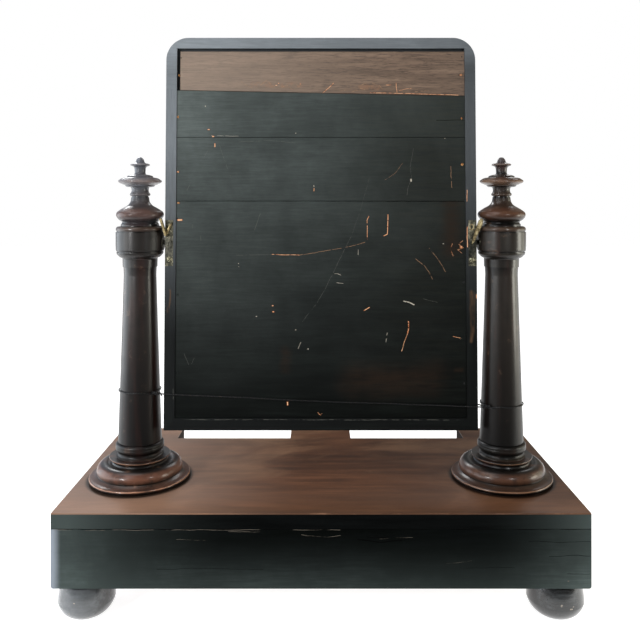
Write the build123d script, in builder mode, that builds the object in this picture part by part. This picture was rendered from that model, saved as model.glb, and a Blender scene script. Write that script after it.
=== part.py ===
from build123d import *
import math
import os

# A swing toilet mirror on a box base with one drawer. Millimetres, +Z up.
# The origin is on the ground under the middle of the base. The drawer and the glass face -Y,
# and "left" is -X, as seen by someone who sits in front of the glass.

# Base box
base_width = 560.0
base_depth = 278.0
foot_height = 40.0
carcass_height = 62.0
top_thickness = 16.0
strip_depth = 26.0  # moulded strips glued along the front of the blocks
bay_recess = 46.5  # how far the two bays stand back from the block fronts
end_block_width = 85.0
centre_block_width = 82.0
strip_round = 6.0
back_thickness = 12.0
back_corner = 2.5
end_thickness = 12.0
block_front_thickness = 8.0
block_front_setback = 3.0
cheek_thickness = 10.0
bottom_thickness = 8.0
top_edge_round = 1.0

# Feet
foot_radius = 30.0
foot_contact_radius = 15.0
foot_belly_height = 16.0
foot_shoulder_radius = 26.0
foot_shoulder_height = 37.0
foot_groove_depth = 1.6
foot_groove_width = 1.2
foot_spigot_radius = 9.0
foot_overhang = 2.0  # past the ends of the box
spigot_fit = 0.05
spigot_short = 0.5

# Drawer
drawer_gap = 1.0  # round the drawer front
drawer_side_play = 0.6
drawer_slide_play = 0.2
drawer_front_thickness = 16.0
drawer_front_setback = 4.0  # behind the edge of the top in the bays
tablet_side_reveal = 1.0
drawer_side_thickness = 8.0
drawer_back_thickness = 7.0
drawer_panel_thickness = 4.0
drawer_groove_depth = 3.0
drawer_groove_play = 0.1
drawer_panel_height = 2.0  # groove above the lower edge of the sides
drawer_side_drop = 3.0  # side edges below the top edge of the front
drawer_back_drop = 6.0
drawer_rear_space = 17.0
runner_height = 3.0
runner_width = 14.0
stop_width = 24.0
stop_height = 12.0
stop_play = 0.3
stop_spacing = 204.0
tail_length = 10.0
tail_width = 13.0
tail_root = 9.0
knob_radius = 12.0
knob_reach = 22.0
knob_dome = 6.2
knob_neck_radius = 6.0
knob_spigot_radius = 5.0

# Columns, with heights above the top board
column_inset = 68.0  # column axes from the ends of the base
column_setback = 97.0  # column axes from the back face
column_spigot_radius = 12.0
column_base_radius = 57.3
column_base_height = 27.5
column_height = 294.8  # to the top of the collar
collar_radius = 27.7
collar_length = 34.4
collar_bead_low = 3.6
collar_bead_high = 6.1
collar_groove_depth = 1.2
collar_groove_width = 1.3
neck_radius = 18.6
neck_length = 23.3
torus_radius = 27.4
cove_radius = 24.9
cove_height = 5.5
shaft_foot_radius = 24.9
shaft_foot_height = 44.0
finial_height = 80.1
finial_radius = 27.3
finial_spigot_radius = 7.0
finial_spigot_length = 18.0

# Looking glass, in its own frame: its origin is on the pivot line
pivot_drop = 19.8  # pivot line below the top of the collars
pivot_gap = 3.8  # between the collars and the frame
mirror_lean = 2.0  # degrees, top towards the front
mirror_above = 239.2
mirror_below = 215.3
mirror_thickness = 22.0
mirror_corner = 26.0
rail_rim = 12.4  # wood seen round the backboards
bottom_rim = 13.9
nailing_ledge = 8.0
board_recess = 1.0
board_thickness = 5.0
board_play = 0.3
plank_gap_top = 3.4  # the plank is short of its rebate
plank_gap_side = 3.6
sight_width = 28.0  # frame width seen from the front
sight_corner = 10.0
lip_thickness = 8.0
frame_outer_round = 7.0
frame_inner_bevel = 4.0
mitre_spare = 10.0
stile_top_joint = 60.0  # below the top of the frame
glass_thickness = 3.0
glass_play = 0.5
block_length = 30.0
block_width = 6.0
block_play = 0.2
plank_height_left = 55.3
plank_height_right = 48.5
upper_seam_drop = 103.8  # below the top of the backboards
lower_seam_drop = 178.0
seam_gap = 0.6

# Brass movements
plate_above = 26.0
plate_below = 27.0
plate_width = 9.5
plate_depth = 14.0
plate_thickness = 1.5
bush_radius = 6.0
bush_length = 10.0
pin_radius = 3.0
pin_fit = 0.05
pin_reach = 7.0
socket_radius = 8.0
socket_thickness = 3.5
socket_shank_radius = 3.0
socket_shank_length = 16.0
lever_low = 7.7
lever_high = 28.0
lever_inset = 1.8
lever_lean = 4.7  # outwards past the edge of the frame at the top
lever_seen_left = 5.4
lever_seen_right = 2.3
lever_deep_left = 2.2
lever_deep_right = 6.0

# Restraint wire, tied round both columns
wire_radius = 0.7
wire_play = 0.3
wire_height_left = 87.0  # above the top board
wire_height_right = 103.0
ring_play = 0.1
knot_radius = 1.7
knot_length = 6.0

# Worked out
back_y = base_depth / 2
front_y = -base_depth / 2
carcass_bottom = foot_height
bottom_top = carcass_bottom + bottom_thickness
carcass_top = foot_height + carcass_height
base_top = carcass_top + top_thickness
strip_joint_y = front_y + strip_depth
bay_y = front_y + bay_recess
block_x = base_width / 2 - end_block_width
tongue_x = centre_block_width / 2
end_inside = base_width / 2 - end_thickness
carcass_back = back_y - back_thickness
block_face_y = front_y + block_front_setback
block_back_y = block_face_y + block_front_thickness
drawer_face_y = bay_y + drawer_front_setback
drawer_inner_y = drawer_face_y + drawer_front_thickness
drawer_rear_y = carcass_back - drawer_rear_space
drawer_half = block_x - drawer_side_play
drawer_low = bottom_top + drawer_gap
drawer_high = carcass_top - drawer_gap
side_low = bottom_top + runner_height + drawer_slide_play
side_high = drawer_high - drawer_side_drop
panel_low = side_low + drawer_panel_height
groove_height = drawer_panel_thickness + 2 * drawer_groove_play
drawer_inside = drawer_half - drawer_side_thickness
knob_x = (tongue_x + block_x) / 2
column_x = base_width / 2 - column_inset
collar_bottom = column_height - collar_length
neck_height = collar_bottom - neck_length
collar_groove_top = collar_bottom + collar_bead_low + collar_groove_width
collar_groove_low = column_height - collar_bead_high - collar_groove_width
column_y = back_y - column_setback
foot_x = base_width / 2 + foot_overhang - foot_radius
foot_y = back_y - foot_radius
pivot_z = base_top + column_height - pivot_drop
mirror_half = column_x - collar_radius - pivot_gap
mirror_width = 2 * mirror_half
half_thick = mirror_thickness / 2
mirror_place = Location((0, column_y, pivot_z), (mirror_lean, 0, 0))
sides = (("left", -1), ("right", 1))

os.makedirs("parts", exist_ok=True)


def save(piece, name):
    piece.label = name
    export_step(piece, f"parts/{name}.step")


def save_on_mirror(piece, name):
    save(piece.moved(mirror_place), name)


def slab(x, y, z):
    """A board between two limits along each axis."""
    middle = tuple((low + high) / 2 for low, high in (x, y, z))
    with BuildPart() as board:
        with Locations(middle):
            Box(x[1] - x[0], y[1] - y[0], z[1] - z[0])
    return board.part


def both(sign, inner, outer):
    """The limits of a span on one side of the middle, low value first."""
    return tuple(sorted((sign * inner, sign * outer)))


def cap(radius, rise):
    """The bulge of a dome that meets the axis of its turning squarely."""
    chord = math.hypot(radius, rise)
    ball = chord**2 / (2 * rise)
    return (ball - math.sqrt(ball**2 - chord**2 / 4)) / chord


def scaled(profile, height, radius):
    """A profile drawn in shares of its height and of its greatest radius, at its real size."""
    return [(height * up, radius * out, bulge) for up, out, bulge in profile]


def turned(steps, centre, height, axis=(0, 0, 1)):
    """A turning, from steps of (height, radius, bulge). A bulge is an arc's rise over its chord."""
    start = Vector(*centre, height)
    plane = Plane(origin=start, x_dir=(1, 0, 0), z_dir=Vector(1, 0, 0).cross(Vector(axis)))
    with BuildPart() as turning:
        with BuildSketch(plane):
            with BuildLine():
                foot = (0.0, steps[0][0])
                here = foot
                for up, radius, bulge in steps:
                    there = (radius, up)
                    if bulge:
                        SagittaArc(here, there, -bulge * math.dist(here, there))
                    else:
                        Line(here, there)
                    here = there
                if here[0] > 0:
                    Line(here, (0, here[1]))
                Line((0, here[1]), foot)
            make_face()
        revolve(axis=Axis(start, axis))
    return turning.part


def with_bore(piece, radius, start, length, direction=(0, 0, 1)):
    """The piece with a round hole from start along direction."""
    with BuildPart() as bored:
        add(piece)
        with BuildSketch(Plane(origin=start, z_dir=direction)):
            Circle(radius)
        extrude(amount=length, mode=Mode.SUBTRACT)
    return bored.part


def front_outline(half_width, back, bay, block_front, tongue_front):
    """The plan of the base: two bays stand back between end blocks and a centre block."""
    with BuildSketch() as plan:
        with Locations((0, (back + bay) / 2)):
            Rectangle(2 * half_width, back - bay)
        with Locations((0, (bay + tongue_front) / 2)):
            Rectangle(2 * tongue_x, bay - tongue_front)
        for sign in (-1, 1):
            with Locations((sign * (half_width + block_x) / 2, (bay + block_front) / 2)):
                Rectangle(half_width - block_x, bay - block_front)
    return plan.sketch


# Top board
with BuildPart() as top_board:
    with BuildSketch(Plane.XY.offset(carcass_top)):
        add(front_outline(base_width / 2, back_y, bay_y, strip_joint_y, strip_joint_y))
    extrude(amount=top_thickness)
    rims = top_board.edges().group_by(Axis.Z)[-1].filter_by(
        lambda edge: edge.center().Y > strip_joint_y + top_edge_round
    )
    fillet(rims.filter_by(Axis.X), radius=top_edge_round)
    with BuildSketch(Plane.XY.offset(carcass_top)):
        with Locations((-column_x, column_y), (column_x, column_y)):
            Circle(column_spigot_radius + spigot_fit)
    extrude(amount=top_thickness, mode=Mode.SUBTRACT)
save(top_board.part, "top_board")

# Moulded strips along the front of the three blocks
strip_spans = {
    "left": (-base_width / 2, -block_x),
    "centre": (-tongue_x, tongue_x),
    "right": (block_x, base_width / 2),
}
for where, span in strip_spans.items():
    with BuildPart() as strip:
        add(slab(span, (front_y, strip_joint_y), (carcass_top, base_top)))
        fillet(strip.edges().group_by(Axis.Z)[-1].sort_by(Axis.Y)[0], radius=strip_round)
    save(strip.part, f"top_strip_{where}")

# Carcass
with BuildPart() as back_board:
    add(slab((-base_width / 2, base_width / 2), (carcass_back, back_y), (carcass_bottom, carcass_top)))
    fillet(back_board.edges().filter_by(Axis.Y).group_by(Axis.Z)[0], radius=back_corner)
save(back_board.part, "back_board")

foot_spots = {
    "front_left": (-foot_x, -foot_y),
    "front_right": (foot_x, -foot_y),
    "back_left": (-foot_x, foot_y),
    "back_right": (foot_x, foot_y),
}
with BuildPart() as bottom_board:
    with BuildSketch(Plane.XY.offset(carcass_bottom)):
        add(front_outline(end_inside, carcass_back, drawer_face_y, block_back_y, block_face_y))
        with Locations(*foot_spots.values()):
            Circle(foot_spigot_radius + spigot_fit, mode=Mode.SUBTRACT)
    extrude(amount=bottom_thickness)
save(bottom_board.part, "bottom_board")

for side, sign in sides:
    end_span = both(sign, end_inside, base_width / 2)
    end_y = (block_back_y, carcass_back)
    save(slab(end_span, end_y, (carcass_bottom, carcass_top)), f"end_panel_{side}")
    fascia_span = both(sign, block_x, base_width / 2)
    fascia_y = (block_face_y, block_back_y)
    save(slab(fascia_span, fascia_y, (carcass_bottom, carcass_top)), f"block_front_{side}")
    cheek_span = both(sign, block_x, block_x + cheek_thickness)
    save(slab(cheek_span, end_y, (bottom_top, carcass_top)), f"drawer_cheek_{side}")
    runner_span = both(sign, block_x - runner_width, block_x)
    runner_y = (drawer_inner_y + drawer_gap, carcass_back)
    save(slab(runner_span, runner_y, (bottom_top, bottom_top + runner_height)), f"drawer_runner_{side}")

with BuildPart() as drawer_stops:
    for _, sign in sides:
        add(slab(
            both(sign, stop_spacing / 2 - stop_width, stop_spacing / 2),
            (drawer_rear_y + stop_play, carcass_back),
            (bottom_top, bottom_top + stop_height),
        ))
save(drawer_stops.part, "drawer_stops")

# Bun feet
groove_top = foot_shoulder_height + foot_groove_width
foot_steps = (
    (0, foot_contact_radius, 0),
    (foot_belly_height, foot_radius, 0.147),
    (foot_shoulder_height, foot_shoulder_radius, 0.037),
    (foot_shoulder_height, foot_shoulder_radius - foot_groove_depth, 0),
    (groove_top, foot_shoulder_radius - foot_groove_depth, 0),
    (groove_top, foot_shoulder_radius, 0),
    (foot_height, foot_shoulder_radius, 0.1),
    (foot_height, foot_spigot_radius, 0),
    (bottom_top - spigot_short, foot_spigot_radius, 0),
)
for where, spot in foot_spots.items():
    save(turned(foot_steps, spot, 0), f"foot_{where}")

# Columns: a wide turned base, a tapered shaft with its collar, and a finial
column_base_profile = (
    (0, 0.951, 0),
    (0.036, 0.951, 0),
    (0.036, 0.985, 0),
    (0.167, 1, 0.2),
    (0.195, 0.985, 0.1),
    (0.305, 0.846, -0.08),
    (0.764, 0.628, 0.3),
    (0.764, 0.567, 0),
    (0.82, 0.552, 0),
    (0.955, 0.604, -0.1),
    (1, 0.6, 0.15),
)
shaft_steps = (
    (spigot_short - top_thickness, column_spigot_radius, 0),
    (column_base_height, column_spigot_radius, 0),
    (column_base_height, cove_radius + 2, 0),
    (column_base_height + 0.8, cove_radius + 1.9, 0),
    (column_base_height + cove_height, cove_radius, -0.2),
    (shaft_foot_height - 5.2, torus_radius, 0.2),
    (shaft_foot_height - 0.8, shaft_foot_radius + 0.5, 0.2),
    (shaft_foot_height - 0.4, shaft_foot_radius - 0.9, 0),
    (shaft_foot_height, shaft_foot_radius, 0),
    (neck_height, neck_radius, 0),
    (neck_height + 9.7, neck_radius + 0.4, 0),
    (neck_height + 9.7, neck_radius + 1.3, 0),
    (neck_height + 18.5, neck_radius + 1.5, 0),
    (neck_height + 20.1, neck_radius + 2.3, -0.12),
    (collar_bottom, collar_radius - 2.6, 0.12),
    (collar_bottom + 1.6, collar_radius - 1.1, 0.15),
    (collar_bottom + collar_bead_low, collar_radius - 0.8, 0.05),
    (collar_bottom + collar_bead_low, collar_radius - 0.8 - collar_groove_depth, 0),
    (collar_groove_top, collar_radius - 0.8 - collar_groove_depth, 0),
    (collar_groove_top, collar_radius - 0.5, 0),
    (pivot_z - base_top - socket_radius, collar_radius, 0.01),
    (collar_groove_low, collar_radius, 0),
    (collar_groove_low, collar_radius - collar_groove_depth, 0),
    (column_height - collar_bead_high, collar_radius - collar_groove_depth, 0),
    (column_height - collar_bead_high, collar_radius - 0.6, 0),
    (column_height - 3.2, collar_radius - 0.3, 0.1),
    (column_height - 0.8, collar_radius - 4.2, 0.2),
    (column_height - 0.8, collar_radius - 5.6, 0),
    (column_height, collar_radius - 5.6, 0),
)
finial_profile = (
    (0, 0.795, 0),
    (0.02, 0.8, 0),
    (0.049, 0.747, -0.1),
    (0.066, 0.78, 0),
    (0.11, 0.945, 0.08),
    (0.16, 1, 0.08),
    (0.21, 0.919, 0.12),
    (0.277, 0.604, 0.02),
    (0.356, 0.396, -0.1),
    (0.417, 0.37, 0),
    (0.417, 0.344, 0),
    (0.429, 0.344, 0),
    (0.429, 0.374, 0),
    (0.451, 0.425, 0.15),
    (0.476, 0.388, 0.15),
    (0.513, 0.355, -0.05),
    (0.556, 0.385, -0.05),
    (0.566, 0.5, 0),
    (0.583, 0.615, 0.2),
    (0.592, 0.637, 0),
    (0.615, 0.795, 0.03),
    (0.642, 0.912, 0.12),
    (0.667, 0.861, 0.18),
    (0.7, 0.604, 0.1),
    (0.709, 0.538, 0),
    (0.725, 0.516, 0.3),
    (0.742, 0.33, 0.05),
    (0.749, 0.245, 0),
    (0.783, 0.223, -0.05),
    (0.828, 0.234, 0),
    (0.86, 0.271, -0.05),
    (0.871, 0.337, 0),
    (0.888, 0.414, 0.15),
    (0.906, 0.3, 0.15),
    (0.921, 0.198, -0.05),
    (0.949, 0.168, 0),
    (0.975, 0.13, 0.08),
)
finial_tip = (1 - finial_profile[-1][0]) * finial_height
finial_steps = (
    (spigot_short - finial_spigot_length, finial_spigot_radius, 0),
    (0, finial_spigot_radius, 0),
    *scaled(finial_profile, finial_height, finial_radius),
    (finial_height, 0, cap(finial_profile[-1][1] * finial_radius, finial_tip)),
)


def shaft_radius(height):
    """The radius of the tapered shaft at a height above the top board."""
    share = (height - shaft_foot_height) / (neck_height - shaft_foot_height)
    return shaft_foot_radius + share * (neck_radius - shaft_foot_radius)


collar_face = column_x - collar_radius
for side, sign in sides:
    spot = (sign * column_x, column_y)
    towards_mirror = (-sign, 0, 0)
    base = turned(scaled(column_base_profile, column_base_height, column_base_radius), spot, base_top)
    base = with_bore(base, column_spigot_radius + spigot_fit, (*spot, base_top), column_base_height)
    save(base, f"column_base_{side}")

    shaft = turned(shaft_steps, spot, base_top)
    finial_seat = base_top + column_height
    shaft = with_bore(
        shaft, finial_spigot_radius + spigot_fit, (*spot, finial_seat), finial_spigot_length, (0, 0, -1)
    )
    socket_mouth = (sign * collar_face, column_y, pivot_z)
    away = (sign, 0, 0)
    shaft = with_bore(shaft, socket_radius + spigot_fit, socket_mouth, socket_thickness, away)
    shank_depth = socket_thickness + socket_shank_length + spigot_short
    shaft = with_bore(shaft, socket_shank_radius + spigot_fit, socket_mouth, shank_depth, away)
    save(shaft, f"column_shaft_{side}")

    save(turned(finial_steps, spot, finial_seat), f"finial_{side}")

    with BuildPart() as socket:
        with BuildSketch(Plane(origin=socket_mouth, z_dir=away)):
            Circle(socket_radius)
        extrude(amount=socket_thickness)
        with BuildSketch(Plane(origin=socket_mouth, z_dir=away)):
            Circle(socket_shank_radius)
        extrude(amount=socket_thickness + socket_shank_length)
        with BuildSketch(Plane(origin=socket_mouth, z_dir=towards_mirror)):
            Circle(pin_radius)
        extrude(amount=collar_face - mirror_half + pin_reach)
        fillet(socket.edges().sort_by(Axis.X, reverse=sign < 0)[0], radius=pin_radius / 4)
    save(socket.part, f"pivot_pin_{side}")

# Restraint wire: a ring round each shaft and a straight strand behind the frame
with BuildPart() as wire:
    ends = []
    knot_starts = []
    for sign, height in ((-1, wire_height_left), (1, wire_height_right)):
        ring_radius = shaft_radius(height) + ring_play + wire_radius
        ring_z = base_top + height
        with Locations((sign * column_x, column_y, ring_z)):
            Torus(ring_radius, wire_radius)
        drop = (pivot_z - ring_z) * math.tan(math.radians(mirror_lean))
        strand_y = half_thick / math.cos(math.radians(mirror_lean)) + drop + wire_play + wire_radius
        inwards = math.sqrt(ring_radius**2 - strand_y**2)
        ends.append(Vector(sign * (column_x - inwards), column_y + strand_y, ring_z))
        knot_reach = ring_radius - wire_radius + knot_radius
        knot_starts.append(math.sqrt(knot_reach**2 - strand_y**2) - inwards)
    strand = ends[1] - ends[0]
    with BuildSketch(Plane(origin=ends[0], z_dir=strand)):
        Circle(wire_radius)
    extrude(amount=strand.length)
    for end, start, way in zip(ends, knot_starts, (strand.normalized(), -strand.normalized())):
        with BuildSketch(Plane(origin=end + way * start, z_dir=way)):
            Circle(knot_radius)
        extrude(amount=knot_length)
save(wire.part, "tie_wire")

# Looking-glass frame: one outline, cut into rails and stiles at its joints
frame_middle = (mirror_above - mirror_below) / 2
frame_height = mirror_above + mirror_below
upright = Plane.XZ  # local x is +X, local y is +Z, and it faces the front


def framed_opening(inset, bottom_inset, corner):
    """A rectangle inside the frame's outline, with its upper corners rounded."""
    with BuildSketch() as opening:
        height = frame_height - inset - bottom_inset
        with Locations((0, frame_middle + (bottom_inset - inset) / 2)):
            Rectangle(mirror_width - 2 * inset, height)
        if corner:
            fillet(opening.vertices().group_by(Axis.Y)[-1], radius=corner)
    return opening.sketch


glass_inset = rail_rim + nailing_ledge
glass_bottom_inset = bottom_rim + nailing_ledge
board_depth = board_recess + board_thickness
with BuildPart() as frame_ring:
    with BuildSketch(upright.offset(half_thick)):
        add(framed_opening(0, 0, mirror_corner))
    extrude(amount=-mirror_thickness)
    fillet(frame_ring.edges().group_by(Axis.Y)[0], radius=frame_outer_round)
    with BuildSketch(upright.offset(half_thick)):
        add(framed_opening(sight_width, sight_width + bottom_rim - rail_rim, sight_corner))
    extrude(amount=-mirror_thickness, mode=Mode.SUBTRACT)
    sight_edges = frame_ring.edges().group_by(Axis.Y)[0].filter_by(
        lambda edge: abs(edge.center().X) < mirror_half - sight_width + 1
    )
    inner_edges = sight_edges.filter_by(
        lambda edge: -mirror_below + sight_width / 2 < edge.center().Z < mirror_above - sight_width / 2
    )
    chamfer(inner_edges, length=frame_inner_bevel)
    with BuildSketch(upright.offset(half_thick - lip_thickness)):
        add(framed_opening(glass_inset, glass_bottom_inset, 0))
    extrude(amount=-mirror_thickness, mode=Mode.SUBTRACT)
    with BuildSketch(upright.offset(board_depth - half_thick)):
        add(framed_opening(rail_rim, bottom_rim, 0))
    extrude(amount=-mirror_thickness, mode=Mode.SUBTRACT)

stile_top = mirror_above - stile_top_joint
corner_low = -mirror_below
reach = mirror_half + 1
mitre = sight_width + mitre_spare
frame_cuts = {
    "frame_top_rail": [
        (-reach, stile_top),
        (reach, stile_top),
        (reach, mirror_above + 1),
        (-reach, mirror_above + 1),
    ],
    "frame_bottom_rail": [
        (-mirror_half, corner_low),
        (mirror_half, corner_low),
        (mirror_half - mitre, corner_low + mitre),
        (mitre - mirror_half, corner_low + mitre),
    ],
}
for side, sign in sides:
    frame_cuts[f"frame_stile_{side}"] = [
        (sign * mirror_half, corner_low),
        (sign * reach, corner_low),
        (sign * reach, stile_top),
        (sign * (mirror_half - mitre), stile_top),
        (sign * (mirror_half - mitre), corner_low + mitre),
    ]
for name, corners in frame_cuts.items():
    with BuildPart() as member:
        add(frame_ring.part)
        with BuildSketch(upright.offset(half_thick)):
            Polygon(*corners, align=None)
        extrude(amount=-mirror_thickness, mode=Mode.INTERSECT)
        if "stile" in name:
            sign = 1 if "right" in name else -1
            edge_x = both(sign, mirror_half - plate_thickness, mirror_half)
            plate_z = (-plate_below, plate_above)
            back_x = both(sign, mirror_half - plate_width, mirror_half)
            add(slab(edge_x, (half_thick - plate_depth, half_thick), plate_z), mode=Mode.SUBTRACT)
            add(slab(back_x, (half_thick - plate_thickness, half_thick), plate_z), mode=Mode.SUBTRACT)
            with BuildSketch(Plane(origin=(sign * mirror_half, 0, 0), z_dir=(-sign, 0, 0))):
                Circle(bush_radius + spigot_fit)
            extrude(amount=bush_length + spigot_fit, mode=Mode.SUBTRACT)
    save_on_mirror(member.part, name)

# Brass plates let into the stiles, each with the bush that turns on its pin, and a lever at its back
for side, sign in sides:
    with BuildPart() as plate:
        plate_z = (-plate_below, plate_above)
        edge_x = both(sign, mirror_half - plate_thickness, mirror_half)
        back_x = both(sign, mirror_half - plate_width, mirror_half)
        add(slab(edge_x, (half_thick - plate_depth, half_thick), plate_z))
        add(slab(back_x, (half_thick - plate_thickness, half_thick), plate_z))
        bush_plane = Plane(origin=(sign * mirror_half, 0, 0), z_dir=(-sign, 0, 0))
        with BuildSketch(bush_plane):
            Circle(bush_radius)
        extrude(amount=bush_length)
        with BuildSketch(bush_plane):
            Circle(pin_radius + pin_fit)
        extrude(amount=bush_length, mode=Mode.SUBTRACT)
    save_on_mirror(plate.part, f"pivot_plate_{side}")

    seen = lever_seen_left if sign < 0 else lever_seen_right
    deep = lever_deep_left if sign < 0 else lever_deep_right
    low_x = sign * (mirror_half - lever_inset)
    high_x = sign * (mirror_half + lever_lean)
    with BuildPart() as lever:
        with BuildSketch(upright.offset(-half_thick)):
            with BuildLine():
                Line((low_x, lever_low), (high_x, lever_high))
            trace(line_width=seen)
        extrude(amount=-deep)
        fillet(lever.edges().filter_by(Axis.Y), radius=seen / 4)
    save_on_mirror(lever.part, f"pivot_lever_{side}")

# Backboards, from the pale plank at the top downwards
board_low_y = half_thick - board_depth
board_half = mirror_half - rail_rim - board_play
board_top = mirror_above - rail_rim - board_play
board_bottom = -mirror_below + bottom_rim + board_play
plank_low = (board_top - plank_height_left, board_top - plank_height_right)
plank_right = board_half - plank_gap_side
upper_seam = board_top - upper_seam_drop
lower_seam = board_top - lower_seam_drop
board_outlines = {
    "backboard_plank": (plank_low, (board_top - plank_gap_top, board_top - plank_gap_top)),
    "backboard_upper": ((upper_seam, upper_seam), (plank_low[0] - seam_gap, plank_low[1] - seam_gap)),
    "backboard_middle": ((lower_seam, lower_seam), (upper_seam - seam_gap, upper_seam - seam_gap)),
    "backboard_lower": ((board_bottom, board_bottom), (lower_seam - seam_gap, lower_seam - seam_gap)),
}
for name, (low, high) in board_outlines.items():
    right_end = plank_right if "plank" in name else board_half
    with BuildPart() as board:
        with BuildSketch(upright.offset(-board_low_y)):
            Polygon(
                (-board_half, low[0]),
                (right_end, low[1]),
                (right_end, high[1]),
                (-board_half, high[0]),
                align=None,
            )
        extrude(amount=-board_thickness)
    save_on_mirror(board.part, name)

# Looking glass and the softwood blocks that hold it on the lip
glass_front = lip_thickness - half_thick
glass_back = glass_front + glass_thickness
with BuildPart() as glass:
    with BuildSketch(upright.offset(-glass_front)):
        add(framed_opening(glass_inset + glass_play, glass_bottom_inset + glass_play, 0))
    extrude(amount=-glass_thickness)
save_on_mirror(glass.part, "looking_glass")

block_depth = (glass_back + block_play, board_low_y - block_play)
pocket_half = mirror_half - glass_inset
pocket_top = mirror_above - glass_inset
pocket_bottom = -mirror_below + glass_bottom_inset
with BuildPart() as glass_blocks:
    for sign in (-1, 1):
        for z in (-0.6 * mirror_below, 0, 0.6 * mirror_above):
            across = both(sign, pocket_half - block_width, pocket_half)
            add(slab(across, block_depth, (z, z + block_length)))
        across = both(sign, pocket_half / 2, pocket_half / 2 + block_length)
        add(slab(across, block_depth, (pocket_top - block_width, pocket_top)))
        add(slab(across, block_depth, (pocket_bottom, pocket_bottom + block_width)))
save_on_mirror(glass_blocks.part, "glass_blocks")


# Drawer
def tails(sign):
    """The tails at the front of a drawer side, which the drawer front's sockets match."""
    middle = (side_low + side_high) / 2
    with BuildPart() as pair:
        with BuildSketch(Plane.YZ.offset(sign * drawer_inside)):
            for z in (middle - tail_width, middle + tail_width):
                Polygon(
                    (drawer_inner_y, z - tail_root / 2),
                    (drawer_inner_y - tail_length, z - tail_width / 2),
                    (drawer_inner_y - tail_length, z + tail_width / 2),
                    (drawer_inner_y, z + tail_root / 2),
                    align=None,
                )
        extrude(amount=sign * drawer_side_thickness)
    return pair.part


knob_z = (drawer_low + drawer_high) / 2
with BuildPart() as drawer_front:
    add(slab((-drawer_half, drawer_half), (drawer_face_y, drawer_inner_y), (drawer_low, drawer_high)))
    add(tails(-1), mode=Mode.SUBTRACT)
    add(tails(1), mode=Mode.SUBTRACT)
    groove_x = (-drawer_inside - drawer_groove_depth, drawer_inside + drawer_groove_depth)
    add(slab(
        groove_x,
        (drawer_inner_y - drawer_groove_depth, drawer_inner_y),
        (panel_low - drawer_groove_play, panel_low - drawer_groove_play + groove_height),
    ), mode=Mode.SUBTRACT)
    for sign in (-1, 1):
        with BuildSketch(Plane(origin=(sign * knob_x, drawer_face_y, knob_z), z_dir=(0, 1, 0))):
            Circle(knob_spigot_radius + spigot_fit)
        extrude(amount=drawer_front_thickness, mode=Mode.SUBTRACT)
save(drawer_front.part, "drawer_front")

tablet_half = tongue_x - tablet_side_reveal
save(
    slab((-tablet_half, tablet_half), (block_face_y, drawer_face_y), (drawer_low, drawer_high)),
    "drawer_tablet",
)

for side, sign in sides:
    with BuildPart() as drawer_side:
        side_y = (drawer_inner_y, drawer_rear_y)
        add(slab(both(sign, drawer_inside, drawer_half), side_y, (side_low, side_high)))
        add(tails(sign))
        add(slab(
            both(sign, drawer_inside, drawer_inside + drawer_groove_depth),
            (drawer_inner_y - drawer_groove_depth, drawer_rear_y),
            (panel_low - drawer_groove_play, panel_low - drawer_groove_play + groove_height),
        ), mode=Mode.SUBTRACT)
    save(drawer_side.part, f"drawer_side_{side}")

panel_half = drawer_inside + drawer_groove_depth - drawer_groove_play
save(
    slab(
        (-panel_half, panel_half),
        (drawer_inner_y - drawer_groove_depth + drawer_groove_play, drawer_rear_y),
        (panel_low, panel_low + drawer_panel_thickness),
    ),
    "drawer_bottom",
)
save(
    slab(
        (-drawer_inside, drawer_inside),
        (drawer_rear_y - drawer_back_thickness, drawer_rear_y),
        (panel_low + drawer_panel_thickness + drawer_groove_play, drawer_high - drawer_back_drop),
    ),
    "drawer_back",
)

knob_steps = (
    (0, knob_spigot_radius, 0),
    (drawer_front_thickness, knob_spigot_radius, 0),
    (drawer_front_thickness, knob_neck_radius + 2.5, 0),
    (drawer_front_thickness + 1.8, knob_neck_radius + 2.5, 0.22),
    (drawer_front_thickness + 1.8, knob_neck_radius, 0),
    (drawer_front_thickness + knob_reach - knob_dome - 4.0, knob_radius - 1.5, -0.16),
    (drawer_front_thickness + knob_reach - knob_dome, knob_radius, 0.14),
    (drawer_front_thickness + knob_reach, 0, cap(knob_radius, knob_dome)),
)
for side, sign in sides:
    knob = turned(knob_steps, (sign * knob_x, drawer_inner_y), knob_z, (0, -1, 0))
    save(knob, f"drawer_knob_{side}")

print("wire strand", round(strand.length, 1), "mm, rings round both shafts")
print("base top", base_top, "pivot", pivot_z, "column y", column_y)
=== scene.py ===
import math
import random

import bpy
from mathutils import Matrix, Vector


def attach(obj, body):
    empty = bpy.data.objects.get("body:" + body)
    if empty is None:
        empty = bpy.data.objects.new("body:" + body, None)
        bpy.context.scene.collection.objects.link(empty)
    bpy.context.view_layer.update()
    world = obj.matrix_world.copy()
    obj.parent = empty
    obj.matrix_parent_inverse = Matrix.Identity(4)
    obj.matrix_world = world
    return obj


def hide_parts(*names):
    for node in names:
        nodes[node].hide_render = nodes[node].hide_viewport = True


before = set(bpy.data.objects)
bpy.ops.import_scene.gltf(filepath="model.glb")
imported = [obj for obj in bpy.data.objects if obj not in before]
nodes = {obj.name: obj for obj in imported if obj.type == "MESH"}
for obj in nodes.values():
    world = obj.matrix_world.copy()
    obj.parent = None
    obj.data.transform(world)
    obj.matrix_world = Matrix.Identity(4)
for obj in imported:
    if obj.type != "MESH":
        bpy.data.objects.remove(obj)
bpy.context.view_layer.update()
random.seed(7)
print("frame loaded:", len(nodes), "parts")


# Camera: level, behind the glass and a little above its pivots
camera = {
    "place": (0.0028, 0.8636, 0.4406),
    "lens": 39.375,
    "shift": (0.0025, -0.1847),
}


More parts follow.
